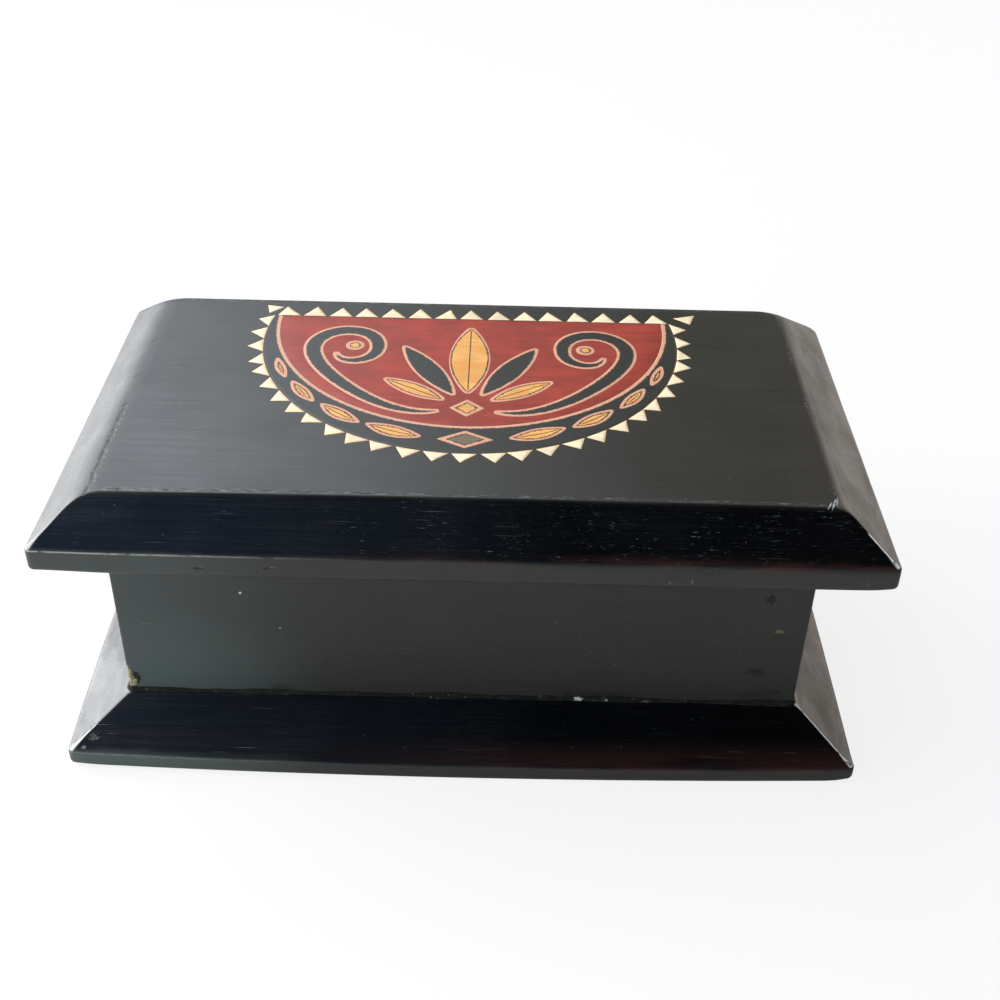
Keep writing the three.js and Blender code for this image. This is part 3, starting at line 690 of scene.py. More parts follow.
class Finish(Nodes):
    """The nodes of one material.

    Brush lines and grain run along X, or along Y where along_y is true.
    """

    def __init__(self, name, settings, along_y=False):
        self.along_y = along_y
        self.material = bpy.data.materials.new(name)
        self.material.use_nodes = True
        super().__init__(self.material.node_tree)
        self.shader = self.found("BSDF_PRINCIPLED")
        for key, value in settings.items():
            self.set(key, value)
        self.place = self.node("TexCoord", out="Object")

    def set(self, socket, value):
        self.feed(self.shader.inputs[socket], value)

    def stretched(self, along, across, upright=None):
        """Object coordinates scaled so that one unit is along and across the grain, and upright in Z."""
        scale = [1 / along, 1 / across, 1 / (upright or across)]
        if self.along_y:
            scale[:2] = scale[1::-1]
        return self.node("Mapping", {"Vector": self.place, "Scale": scale})

    def noise(self, vector, scale=1.0, detail=2.0, roughness=0.5, distortion=0.0):
        return self.node("TexNoise", {"Vector": vector, "Scale": scale, "Detail": detail,
                                      "Roughness": roughness, "Distortion": distortion})

    def cloud(self, scale, detail=2.0, roughness=0.5):
        return self.noise(self.place, scale, detail, roughness)

    def grain(self, along, across, detail, roughness=0.5):
        return self.noise(self.stretched(along, across), 1.0, detail, roughness)

    def ramp(self, value, low, high, to_low=0.0, to_high=1.0):
        """The value's range low to high, spread smoothly over to_low to to_high."""
        return self.node("MapRange", {
            "Value": value, "From Min": low, "From Max": high, "To Min": to_low, "To Max": to_high},
            interpolation_type="SMOOTHSTEP")

    def mix(self, share, first, second):
        return self.node("Mix", {0: share, 6: first, 7: second}, out=2, data_type="RGBA")

    def value(self, attribute):
        return self.node("Attribute", out="Fac", attribute_name=attribute)

    def axis(self, letter):
        return self.node("SeparateXYZ", {0: self.place}, out=letter)

    def unrolled(self):
        """Two coordinates that spread over every face.

        One runs along X with some Y, the other up the slopes from the edges.
        """
        along = self.math("MULTIPLY_ADD", self.axis("Y"), 0.5, self.axis("X"))
        upward = self.math("SUBTRACT", self.axis("Z"), self.math("ABSOLUTE", self.axis("Y")))
        return self.node("CombineXYZ", {0: along, 1: self.times(upward, 0.75)})

    def strokes(self, along, across, turn, low, high):
        """Short irregular strokes along X, turned by degrees: the peaks of a stretched noise."""
        vector = self.node("Mapping", {
            "Vector": self.unrolled(), "Rotation": (0, 0, math.radians(turn)),
            "Scale": (along, across, 1)}, vector_type="TEXTURE")
        return self.ramp(self.noise(vector, detail=2.0, roughness=0.6), low, high)

    def specks(self, spacing, radius, share, seed=0.0):
        """Scattered dots: a share of the cells round scattered points, within a radius of them."""
        vector = self.node("Mapping", {
            "Vector": self.unrolled(), "Location": (seed, seed, 0),
            "Scale": (spacing, spacing, 1)}, vector_type="TEXTURE")
        cells = self.node("TexVoronoi", {"Vector": vector, "Scale": 1.0}, out="Distance",
                          voronoi_dimensions="2D")
        chosen = self.node("SeparateColor", {0: cells.node.outputs["Color"]}, out=0)
        dot = self.ramp(cells, radius / spacing, 0.4 * radius / spacing)
        return self.times(dot, self.math("LESS_THAN", chosen, share))

    def spot(self, middle, reach, ragged, turn):
        """1 within an irregular patch: middle and reach in millimetres, turn about Z in degrees."""
        local = self.node("Mapping", {
            "Vector": self.place, "Location": [MM * place for place in middle],
            "Rotation": (0, 0, math.radians(turn)),
            "Scale": [MM * span for span in reach]}, vector_type="TEXTURE")
        away = self.node("VectorMath", {0: local}, out="Value", operation="LENGTH")
        stray = self.cloud(1300.0, 3.0, 0.6)
        return self.ramp(self.math("MULTIPLY_ADD", stray, 2 * ragged, away), 1.05 + ragged, 0.8 + ragged)

    def marked(self, base, marks):
        """The colour with the marks over it, and how far each place is marked and dented."""
        mottle = self.ramp(self.cloud(2400.0), 0.38, 0.62)
        marred, dented = 0.0, 0.0
        for middle, reach, ragged, turn, stain, depth in marks:
            patch = self.spot(middle, reach, ragged, turn)
            base = self.mix(patch, base, self.mix(mottle, [0.4 * channel for channel in stain], stain))
            marred = self.math("MAXIMUM", marred, patch)
            dented = self.math("MULTIPLY_ADD", patch, -depth, dented)
        return base, marred, dented

    def bump(self, height, distance, strength):
        """Adds a height in front of the bumps made so far."""
        socket = self.shader.inputs["Normal"]
        inputs = {"Height": height, "Distance": distance, "Strength": strength}
        if socket.links:
            inputs["Normal"] = socket.links[0].from_socket
        self.set("Normal", self.node("Bump", inputs))


def lacquer(name, inside=False, dull=None, marks=(), seep=0.0, scuffs=0.0, shoulders=False, along_y=False):
    """Black lacquer: brush lines, dust, scratched bevels, rubbed arrises and named marks, with painted
    light on the front's left end, a painted bluish reflection on the long bevels and painted highlights
    along the front bevel's foot and the front mitres.

    inside leaves the wood bare within the walls. dull is how matt the paint
    is, seep how far the wood's red shows on the low part of the front bevel,
    scuffs how plain the short strokes on the bevels are, and shoulders adds
    the lines of wear on the lid.
    """
    made = Finish(name, {"IOR": LACQUER_IOR}, along_y)
    tone = colours()
    times, ramp, x = made.times, made.ramp, made.axis("X")
    slope, end, crest = (made.value(key) for key in ("slope", "end", "crest"))
    dull = made.value("edge_face") if dull is None else dull
    streak = made.grain(30 * MM, 0.5 * MM, 3.0, 0.6)
    fine = made.grain(2.2 * MM, 0.5 * MM, 3.0, 0.7)
    cloud = made.cloud(60.0, 3.0)
    patches = ramp(made.cloud(90.0), 0.4, 0.62)
    scattered = made.math("MULTIPLY_ADD", patches, 0.75, 0.25)

    haze = times(ramp(made.grain(2.4 * MM, 0.8 * MM, 4.0, 0.7), 0.42, 0.7), dull)
    # Painted light: the front faces are painted brighter towards the left end, and more so low on the
    # walls
    painted_light = times(made.value("upright_front"), ramp(x, -30 * MM, -84 * MM))
    low_painted_light = times(painted_light, ramp(made.axis("Z"), 46 * MM, 18 * MM))
    rubbed = times(made.value("wear"), ramp(made.grain(26 * MM, 2.5 * MM, 4.0, 0.65), 0.36, 0.6))
    seeping = times(made.value("low_slope"), seep, ramp(made.grain(50 * MM, 5 * MM, 3.0), 0.25, 0.5))
    rubbed = times(made.math("MAXIMUM", rubbed, seeping), ramp(x, -50 * MM, 40 * MM, 0.1, 1.0))
    dashes = made.math("MAXIMUM", made.strokes(2.6 * MM, 0.28 * MM, 3, 0.64, 0.78),
                       made.strokes(3.6 * MM, 0.28 * MM, -7, 0.66, 0.8))
    dashes = times(dashes, slope, scattered, ramp(x, -70 * MM, 30 * MM, 0.4 * scuffs, scuffs))
    scratches = times(ramp(made.grain(22 * MM, 0.22 * MM, 1.0), 0.7, 0.78), slope, patches)
    dust = times(made.specks(3.1 * MM, 0.15 * MM, 0.1), scattered)
    flecks = times(crest, ramp(fine, 0.54, 0.63))
    nicks = times(crest, ramp(fine, 0.47, 0.4))
    # Pale wear along the foot of the front bevel at the left end, partly a painted highlight
    lip = times(made.value("lip"), ramp(x, -20 * MM, -88 * MM),
                ramp(made.grain(3 * MM, 1 * MM, 3.0), 0.34, 0.5))
    # Painted highlight along the front mitre ridges
    shine = times(made.value("shine"), ramp(made.cloud(700.0), 0.3, 0.45))

    base = tone.lacquer
    for mask, strength, film in (
            (haze, 0.4, tone.haze),
            # painted light on the left end of the front faces
            (painted_light, ramp(cloud, 0.3, 0.7, 0.7, 1.0), tone.painted_light),
            (low_painted_light, 0.6, LOW_PAINTED_LIGHT),
            # painted bluish reflection on the long bevels, stronger towards the left
            (slope, ramp(x, 30 * MM, -20 * MM, 0.0, 0.17), BLUISH_REFLECTION_PAINT),
            (rubbed, 1.0, tone.worn),
            (dashes, 0.75, tone.dust),
            (scratches, 0.2, tone.dust),
            (dust, 0.5, PALE_SPECK),
            (flecks, 0.42, PALE_FLECK),
            # pale wear and painted highlight along the front bevel's foot
            (lip, 0.6, LIP_WEAR_AND_HIGHLIGHT),
            # painted highlight along the front mitre ridges
            (shine, 1.0, RIDGE_HIGHLIGHT)):
        base = made.mix(times(mask, strength), base, film)
    pits = nicks
    if shoulders:
        crack, pale = shoulder_lines(made)
        base = made.mix(times(pale, 0.45), base, PALE_LINE)
        pits = made.math("MAXIMUM", nicks, times(crack, 0.9))
    base, marred, dented = made.marked(base, marks)
    if inside:
        base = made.mix(within_walls(made), base, bare_wood_colour(made))
    made.set("Base Color", base)

    mottle = made.noise(made.stretched(9 * MM, 22 * MM, 9 * MM), 1.0, 4.0, 0.6, 0.8)
    rough = made.math("ADD", ramp(streak, 0.3, 0.7, GLOSS - 0.04, GLOSS + 0.04),
                      ramp(cloud, 0.3, 0.7, -0.03, 0.03))
    for mask, change in (
            (dull, DULLER_EDGE),
            (end, ramp(mottle, 0.36, 0.64, DULLER_END - 0.04, DULLER_END + 0.05)),
            (slope, -GLOSSIER_SLOPE),
            (made.math("MAXIMUM", pits, marred), DULLER_MARK)):
        rough = made.math("MULTIPLY_ADD", mask, change, rough)
    made.set("Roughness", rough)

    grooves = made.math("ADD", made.math("ADD", dashes, scratches), pits)
    for height, millimetres, strength in (
            (cloud, 0.12, 0.35),
            (times(made.cloud(110.0), end), 0.16, 0.7),
            (streak, 0.02, 0.32),
            (made.grain(7 * MM, 0.35 * MM, 4.0, 0.65), 0.012, 0.4),
            (made.cloud(1500.0), 0.006, 0.5),
            (times(grooves, -1.0), 0.03, 0.6),
            (dented, 1, 0.8)):
        made.bump(height, millimetres * MM, strength)
    return made.material


def shoulder_lines(made):
    """Masks of the crack by the lid's left shoulder and of the pale flecks by both shoulders."""
    times = made.times
    stray = made.math("MULTIPLY_ADD", made.cloud(220.0, 3.0), 1.6 * MM, -0.8 * MM)
    broken = made.cloud(1300.0)
    near_top = made.ramp(made.axis("Z"), LID_HIGH.z - 1.2 * MM, LID_HIGH.z - 0.8 * MM)
    on_top = times(near_top, made.math("SUBTRACT", 1.0, made.value("slope")))
    forward = times(made.ramp(made.axis("Y"), -2 * MM, -14 * MM), on_top)

    def line(x, reach):
        away = made.math("ABSOLUTE", made.math("SUBTRACT", made.math("ADD", made.axis("X"), stray), x))
        return made.ramp(away, reach, 0.3 * reach)

    crack = times(line(-87.3 * MM, 0.6 * MM), forward, made.ramp(broken, 0.34, 0.5))
    left = times(line(-86.3 * MM, 0.5 * MM), forward, made.ramp(broken, 0.54, 0.62))
    gaps = made.ramp(made.cloud(60.0, 1.0), 0.42, 0.55)
    right = times(line(86 * MM, 0.55 * MM), on_top, made.ramp(broken, 0.55, 0.64), gaps)
    return crack, made.math("MAXIMUM", left, right)


def within_walls(made):
    """1 inside the box and 0 outside it, by the distance to the walls' inner faces."""
    margin = 0.1 * MM

    def between(letter, face):
        reach = face - WALL_THICKNESS + margin
        return made.math("LESS_THAN", made.math("ABSOLUTE", made.axis(letter)), reach)

    above = made.math("GREATER_THAN", made.axis("Z"), BASE_HIGH.z - margin)
    below = made.math("LESS_THAN", made.axis("Z"), WALL_HIGH.z - margin)
    return made.times(between("X", HALF_BODY), between("Y", BACK_FACE), above, below)


def bare_wood_colour(made):
    grain = made.noise(made.stretched(60 * MM, 3 * MM), 1.0, 6.0, 0.65, 0.6)
    tone = colours().bare_wood
    dark = [0.55 * channel for channel in tone]
    return made.mix(made.ramp(grain, 0.3, 0.7), dark, tone)


def veneer(name, tone, contrast=0.35, outlined=False, toothed=False, deep=None):
    """Thin stained wood, its grain along X, under a satin coat.

    deep is a second stain in soft clouds. outlined adds the pale line along
    the edges and the vein along the middle, toothed the darker root of a tooth.
    """
    made = Finish(name, {"IOR": VENEER_IOR})
    times = made.times
    grain = made.grain(14 * MM, 0.45 * MM, 4.0, 0.6)
    cloud = made.cloud(110.0, 3.0)
    dark = [channel * (1 - contrast) for channel in tone]
    light = [min(1.0, channel * (1 + 0.4 * contrast)) for channel in tone]
    figure = made.math("ADD", times(grain, 0.6), times(cloud, 0.4))
    base = made.mix(made.ramp(figure, 0.36, 0.62), dark, light)
    if deep:
        wash = made.ramp(made.grain(9 * MM, 5 * MM, 3.0), 0.42, 0.68)
        base = made.mix(times(wash, 0.75), base, deep)
    flecks = made.specks(1.1 * MM, 0.14 * MM, 0.2, seed=3.0)
    base = made.mix(times(flecks, 0.45), base, [0.35 * channel for channel in tone])
    if toothed:
        root = made.ramp(made.value("edge"), 0.45 * MM, -0.1 * MM)
        red, green, blue = colours().ochre
        base = made.mix(times(root, 0.5), base, (1.1 * red, green, blue))
    if outlined:
        vein = times(made.ramp(made.value("rib"), 0.2 * MM, 0.1 * MM),
                     made.ramp(made.value("edge"), 1.6 * MM, 2.1 * MM))
        base = outline_over(made, made.mix(vein, base, colours().scorched))
    made.set("Base Color", base)
    made.set("Roughness", made.ramp(grain, 0.3, 0.7, 0.32, 0.44))
    made.bump(cloud, 0.1 * MM, 0.3)
    made.bump(grain, 0.015 * MM, 0.4)
    return made.material


def outline_over(made, base):
    """Paints the pale speckled line and the scorched hairline by the distance from the edge."""
    tints = colours()
    width = sizes().outline
    stray = made.ramp(made.cloud(1400.0), 0.25, 0.75, -0.16 * MM, 0.16 * MM)
    edge = made.math("ADD", made.value("edge"), stray)
    rosy = [0.35 * pale + 0.65 * red for pale, red in zip(tints.line, tints.red)]
    line = made.mix(made.ramp(made.cloud(2600.0, 1.0), 0.45, 0.7, 0.0, 0.7), tints.line, rosy)
    inside = made.ramp(edge, width, width + 0.12 * MM)
    hairline = made.times(made.ramp(edge, width - 0.1 * MM, width),
                          made.ramp(edge, width + 0.4 * MM, width + 0.22 * MM))
    return made.mix(hairline, made.mix(inside, line, base), tints.scorched)


def outlined_lacquer(name):
    """The medallion's black parts: lacquer with the pale line along their edges."""
    made = Finish(name, {"IOR": LACQUER_IOR})
    streak = made.grain(20 * MM, 0.5 * MM, 3.0)
    dust = made.specks(1.6 * MM, 0.12 * MM, 0.12, seed=5.0)
    base = made.mix(made.times(dust, 0.4), colours().lacquer, INLAY_SPECK)
    made.set("Base Color", outline_over(made, base))
    made.set("Roughness", made.ramp(streak, 0.3, 0.7, 0.29, 0.39))
    made.bump(streak, 0.02 * MM, 0.4)
    return made.material


def metal(name, tone, roughness):
    """Worn satin metal with brushed lines and darker tarnish."""
    made = Finish(name, {"Metallic": 1.0})
    brushed = made.grain(8 * MM, 0.25 * MM, 3.0)
    cloud = made.cloud(260.0, 4.0, 0.6)
    dark = [0.45 * channel for channel in tone]
    made.set("Base Color", made.mix(made.ramp(cloud, 0.42, 0.66), tone, dark))
    made.set("Roughness", made.math("ADD", made.ramp(cloud, 0.3, 0.7, roughness - 0.06, roughness + 0.14),
                                    made.ramp(brushed, 0.3, 0.7, -0.04, 0.04)))
    made.bump(brushed, 0.01 * MM, 0.5)
    return made.material


def glue(name):
    """Dark glue and dust in the corner at the foot of the walls, with pale specks."""
    made = Finish(name, {"Roughness": 0.75, "IOR": GLUE_IOR})
    cloud = made.cloud(900.0, 4.0, 0.7)
    dust = made.specks(1.5 * MM, 0.2 * MM, 0.18, seed=9.0)
    base = made.mix(made.ramp(cloud, 0.45, 0.7), DARK_GLUE, DUSTY_GLUE)
    base = made.mix(made.times(dust, 0.7), base, GLUE_SPECK)
    base, _, _ = made.marked(base, FOOT_MARKS)
    made.set("Base Color", base)
    made.bump(cloud, 0.2 * MM, 0.8)
    return made.material


# The medallion's outlines

def ribbon(left, right, top, columns=13, lined=(True, True)):
    """A flat strip between two edge curves, as rings across it.

    A point of the top lies at a share from -1 at the left edge to 1 at the
    right; its value edge is its distance from the nearer lined edge, and rib
    its distance from the strip's middle.
    """
    share = np.linspace(-1, 1, columns)[None, :]
    across = (left[:, None] * (1 - share[..., None]) + right[:, None] * (1 + share[..., None])) / 2
    half = np.linalg.norm(left - right, axis=-1)[:, None] / 2
    nearer = np.min([way for way, has_line in zip((1 + share, 1 - share), lined) if has_line], axis=0)
    height = np.full(across.shape[:2], top)
    height[:, [0, -1]] -= VENEER_ARRIS
    face = np.concatenate([across, height[..., None]], axis=-1)

    def closed(value):
        """The value with those of the last and the first column again, for the underside."""
        return np.concatenate([value, value[:, [-1, 0]]], axis=1)

    rings = closed(face)
    rings[:, -2:, 2] = top - VENEER_THICKNESS
    return shell(rings, edge=closed(half * nearer), rib=closed(half * np.abs(share)))


def tapered(path, half_width, fullness, grow):
    """Edge curves of a strip along a path, as wide as a power of a sine from end to end."""
    along = np.gradient(path, axis=0)
    along /= np.linalg.norm(along, axis=-1, keepdims=True)
    share = np.linspace(0.004, 0.996, len(path))[:, None]
    width = half_width * np.sin(np.pi * share) ** fullness + grow
    normal = np.stack([-along[:, 1], along[:, 0]], axis=-1)
    return path + normal * width, path - normal * width


def plate(outline, centre, inradius, top, steps=(0, 0.05, 0.2, 0.5, 0.8, 0.96)):
    """A flat plate whose rings are its outline drawn in towards a centre."""
    outline = np.asarray(outline, float)
    shares = np.array((0, *steps))[:, None]
    rings = outline[None] * (1 - shares[..., None]) + np.asarray(centre)[None, None] * shares[..., None]
    height = np.full(rings.shape[:2], top)
    height[0] = top - VENEER_THICKNESS
    height[1] = top - VENEER_ARRIS
    return shell(np.concatenate([rings, height[..., None]], axis=-1), edge=inradius * shares, rib=inradius)


def arc(x, y, radius, start, end, steps):
    """Points on a circle, from a start to an end in degrees."""
    turn = np.radians(np.linspace(start, end, steps))
    return np.stack([x + radius * np.cos(turn), y + radius * np.sin(turn)], axis=-1)


def chord_angle(y, radius, chord):
    """The angle, in degrees, at which a circle round a middle at y crosses a chord on the right."""
    return math.degrees(math.asin((chord - y) / radius))


def below_chord(y, radius, chord, steps):
    """The part of a circle in front of a chord, clockwise from the chord's right end."""
    start = chord_angle(y, radius, chord)
    return arc(DISC_X, y, radius, start, -180 - start, steps)


def polygon(corners, steps):
    """A polygon's outline, with each side cut into steps."""
    ahead = np.roll(corners, -1, axis=0)
    return np.concatenate([np.linspace(a, b, steps + 1)[:-1] for a, b in zip(corners, ahead)])


def lid_top():
    return LID_HIGH.z + ornament().rise


def band_middle(turn):
    """How far the middle of the dark band is from the disc's centre, at a turn from the front."""
    toward = BAND_RISE * np.cos(turn)
    inner = -toward + np.sqrt(toward ** 2 - BAND_RISE ** 2 + BAND_RADIUS ** 2)
    return (inner + DISC_RADIUS) / 2


# Operators

class BuildOperator(bpy.types.Operator):
    """What all the steps share."""
    bl_options = {"REGISTER", "UNDO"}


class TRINKETBOX_OT_base_board(BuildOperator):
    """Build the bevelled base board."""
    bl_idname = "trinketbox.base_board"
    bl_label = "Base board"

    def execute(self, context):
        size_of = sizes()
        run_x = BASE_HIGH.x - HALF_BODY
        run_y = BASE_HIGH.y - BACK_FACE
        spread = Vector((0.6 * MM, 0.4 * MM, 0))
        shape = {
            "bows": (1.2 * MM, 0.3 * MM, 2.0 * MM, 0.5 * MM), "hollow": 0, "knee": 0.12 * MM,
            "worn": [(BASE_LOW.x, BASE_LOW.y, 4 * MM, 0.4 * MM),
                     (BASE_HIGH.x, BASE_LOW.y, 3.5 * MM, 1.0 * MM)],
            # The last two set the painted highlight up the front mitres and the pale wear and painted
            # highlight along the front bevel's foot
            "ridge_shine": (0.98, 0.45), "lip": 0.15}
        board = bevelled_board(
            "base_board", BASE_LOW - spread, BASE_HIGH, size_of.base_band,
            (run_x + spread.x, run_x, run_y + spread.y, run_y), (size_of.crisp_shoulder,) * 4,
            ((size_of.board_corner, size_of.ridge_corner),) * 4, shape, 3,
            lacquer("base_lacquer", inside=True, marks=BASE_MARKS, seep=1.0, scuffs=0.2), "carcass")
        ends = ("front_left", "front_right", "back_left", "back_right")
        cut(board, [self.screw_hole(end) for end in ends])
        return {"FINISHED"}

    def screw_hole(self, end):
        """A countersunk hole, with room round the screw's head and shank."""
        low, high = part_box("base_screw_" + end)
        centre = (low + high) / 2
        head = (high.x - low.x) / 2 + 0.25 * MM
        shank = 1.8 * MM
        return shell(lathe(centre.x, centre.y, [
            (head, -1 * MM), (head, low.z), (shank, low.z + 1.9 * MM), (shank, 12 * MM)]))


class TRINKETBOX_OT_walls(BuildOperator):
    """Build the four walls, rebated into each other at the corners."""
    bl_idname = "trinketbox.walls"
    bl_label = "Walls"

    def execute(self, context):
        finish = lacquer("wall_lacquer", inside=True, dull=1.4, marks=WALL_MARKS)
        low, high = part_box("wall_leaf_right")
        room = 0.3 * MM
        long_wall(-1, [], finish, "front_wall")
        long_wall(1, [(low.x - room, high.x + room)], finish, "back_wall")
        side_finish = lacquer("side_wall_lacquer", inside=True, dull=1.0, along_y=True)
        side_wall(-1, side_finish, "left_wall")
        side_wall(1, side_finish, "right_wall")
        return {"FINISHED"}


class TRINKETBOX_OT_lid_board(BuildOperator):
    """Build the bevelled lid board and cut the room for its hinges."""
    bl_idname = "trinketbox.lid_board"
    bl_label = "Lid board"

    def execute(self, context):
        size_of = sizes()
        soft, eased = size_of.end_shoulder, size_of.front_shoulder
        front = (size_of.board_corner, size_of.ridge_corner)
        shape = {
            "bows": (0, 0, 0.2 * MM, 0.2 * MM), "hollow": 1.2 * MM, "knee": 0.36 * MM,
            "worn": [(LID_LOW.x, LID_LOW.y, 14 * MM, 0.6 * MM),
                     (LID_HIGH.x, LID_LOW.y, 4 * MM, 0.6 * MM)],
            # The last two set the painted highlight up the front mitres and the pale wear and painted
            # highlight along the front bevel's foot
            "ridge_shine": (0.6, 0.0), "lip": 1.0}
        board = bevelled_board(
            "lid_board", LID_LOW, LID_HIGH, size_of.lid_band,
            (size_of.left_bevel, size_of.right_bevel, size_of.front_bevel, size_of.front_bevel),
            (soft, 0.5 * soft, eased, size_of.crisp_shoulder),
            (front, (size_of.back_right_corner,) * 2, (size_of.back_left_corner,) * 2, front), shape, 5,
            lacquer("lid_lacquer", marks=LID_MARKS, scuffs=1.0, shoulders=True), "lid")
        gap = 0.3 * MM
        knuckle_room = 2.1 * MM
        mortises = []
        channels = []
        for side in ("left", "right"):
            low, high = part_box("lid_leaf_" + side)
            pin_low, pin_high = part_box("hinge_pin_" + side)
            mortises.append(shell(block((low.x - gap, low.y - gap, LID_LOW.z - 1 * MM),
                                        (high.x + gap, HINGE_LINE[1], LID_LOW.z + LEAF_THICKNESS))))
            channels.append(shell(rod(knuckle_room, pin_low.x - gap, pin_high.x + gap)))
        cut(board, mortises)
        cut(board, channels)
        return {"FINISHED"}


class TRINKETBOX_OT_medallion_ground(BuildOperator):
    """Lay the red field, the dark band and the scorched line of the medallion."""
    bl_idname = "trinketbox.medallion_ground"
    bl_label = "Medallion ground"

    def execute(self, context):
        top = lid_top()
        centre_y = DISC_Y + BAND_RISE
        rim = below_chord(centre_y, BAND_RADIUS, CHORD_Y - 0.05 * MM, 180)[::-1]
        across = np.linspace(rim[-1], rim[0], 60)[1:-1]
        field = plate(np.concatenate([rim, across]), (DISC_X, 10 * MM), 28 * MM, top,
                      steps=(0, 0.01, 0.1, 0.4, 0.8))
        finish = veneer("red_veneer", colours().red, deep=colours().red_wash)
        piece("red_field", [field], finish, "lid", ["red_field"])
        outer = below_chord(DISC_Y, DISC_RADIUS, CHORD_Y, 160)
        inner = below_chord(centre_y, BAND_RADIUS, CHORD_Y, 160)
        band = ribbon(outer, inner, top + 0.005 * MM, columns=25, lined=(False, True))
        piece("dark_band", [band], outlined_lacquer("band_lacquer"), "lid", ["dark_band"])
        self.rim_line(top + 0.02 * MM)
        return {"FINISHED"}

    def rim_line(self, top):
        """The scorched line round the disc: along the arc, then along the chord."""
        half = 0.19 * MM
        outside = 0.12 * MM
        wander = 0.05 * MM
        start = chord_angle(DISC_Y, DISC_RADIUS, CHORD_Y)
        shores = []
        for reach in (half, -half):
            curve = arc(DISC_X, DISC_Y, DISC_RADIUS + outside + reach, start, -180 - start, 260)
            across = np.linspace(curve[-1], curve[0], 120)
            across[:, 1] = CHORD_Y + outside + reach
            loop = np.concatenate([curve, across])
            shores.append(loop + wander * waves(np.pad(loop, ((0, 0), (0, 1))), 0.006, 21)[:, None])
        finish = veneer("scorched_line", [2.2 * channel for channel in colours().scorched])
        piece("rim_line", [ribbon(*shores, top, columns=3)], finish, "lid")


class TRINKETBOX_OT_motifs(BuildOperator):
    """Lay the palmette, the scrolls and the leaves, each with its pale outline."""
    bl_idname = "trinketbox.motifs"
    bl_label = "Motifs"

    # A petal's turn in degrees, tip and half width in millimetres, and a leaf's
    # turn, length and half width
    petals = {"middle": (0, 42, 5.8), "inner": (30, 36, 3.8), "outer": (58, 26, 3.0)}
    leaves = ((21, 15, 2.7), (39, 13.5, 2.4), (55.5, 12, 1.9), (70.5, 10.5, 1.4))

    # The right scroll's four cubic curves, its half width, and its eye's middle and radius
    scroll_points = ((7, -9.5), (14, -11.5), (22, -8), (30, 0), (37, 7), (47, 20), (40, 28),
                     (34.7, 34), (24, 31), (25, 21), (25.7, 14), (35, 12), (36, 19))
    scroll_half = 2.6
    eye = (31.2, 22.8, 2.6)

    def execute(self, context):
        self.top = lid_top() + 0.012 * MM
        tint = colours()
        self.ochre = veneer("ochre_inlay", tint.ochre, 0.25, outlined=True, deep=tint.ochre_wash)
        self.black = outlined_lacquer("black_inlay")
        self.petal("petal_middle", "middle", 0, self.ochre, "ochre_veneer")
        for name, side in (("left", -1), ("right", 1)):
            self.petal(f"petal_inner_{name}", "inner", side, self.black, "black_lacquer")
            self.petal(f"petal_outer_{name}", "outer", side, self.ochre, "ochre_veneer")
            self.scroll(f"scroll_{name}", side)
            x, y, radius = (value * MM for value in self.eye)
            self.round_plate(f"eye_{name}", (DISC_X + side * x, y), radius)
            for index, leaf in enumerate(self.leaves):
                self.leaf(f"leaf_{name}_{index + 1}", side, *leaf)
        self.diamond("palmette_foot", PALMETTE_Y, 4.6 * MM, 4.2 * MM, self.ochre, "ochre_veneer")
        self.diamond("band_lozenge", DISC_Y - band_middle(0.0), 7.2 * MM, 4 * MM,
                     veneer("brown_inlay", tint.brown, outlined=True), "brown_veneer")
        return {"FINISHED"}

    def strip(self, name, path, half, fullness, finish, slot, grow=0.45 * MM):
        left, right = tapered(path, half, fullness, grow)
        piece(name, [ribbon(left, right, self.top)], finish, "lid", [name])

    def petal(self, name, kind, side, finish, slot):
        turn, tip, half = self.petals[kind]
        angle = side * math.radians(turn)
        reach = np.linspace(PETAL_ROOT, tip * MM, 40)[:, None]
        path = np.array([[DISC_X, PALMETTE_Y]]) + reach * np.array([[math.sin(angle), math.cos(angle)]])
        self.strip(name, path, half * MM, 0.75, finish, slot)

    def leaf(self, name, side, degrees, length, half):
        turn = math.radians(degrees)
        radius = band_middle(turn)
        around = side * turn + np.linspace(-0.5, 0.5, 32) * length * MM / radius
        path = np.stack([DISC_X + radius * np.sin(around), DISC_Y - radius * np.cos(around)], axis=-1)
        self.strip(name, path, half * MM, 0.8, self.ochre, "ochre_veneer", 0.3 * MM)

    def scroll(self, name, side):
        points = np.array(self.scroll_points) * MM
        t = np.linspace(0, 1, 41)[:, None]
        spans = []
        for first in range(0, len(points) - 1, 3):
            a, b, c, d = points[first:first + 4]
            span = (1 - t) ** 3 * a + 3 * t * (1 - t) ** 2 * b + 3 * t ** 2 * (1 - t) * c + t ** 3 * d
            spans.append(span if first == 0 else span[1:])
        path = np.concatenate(spans) * [side, 1] + [DISC_X, 0]
        self.strip(name, path, self.scroll_half * MM, 0.45, self.black, "black_lacquer")

    def round_plate(self, name, centre, radius):
        outline = arc(*centre, radius, 0, 360, 41)[:-1]
        made = plate(outline, centre, radius, self.top + 0.01 * MM)
        piece(name, [made], self.ochre, "lid", [name])

    def diamond(self, name, y, half_x, half_y, finish, slot):
        corners = np.array([[0, -half_y], [half_x, 0], [0, half_y], [-half_x, 0]])
        inradius = half_x * half_y / math.hypot(half_x, half_y)
        made = plate(polygon(corners, 8) + [DISC_X, y], (DISC_X, y), inradius, self.top + 0.01 * MM)
        piece(name, [made], finish, "lid", [name])


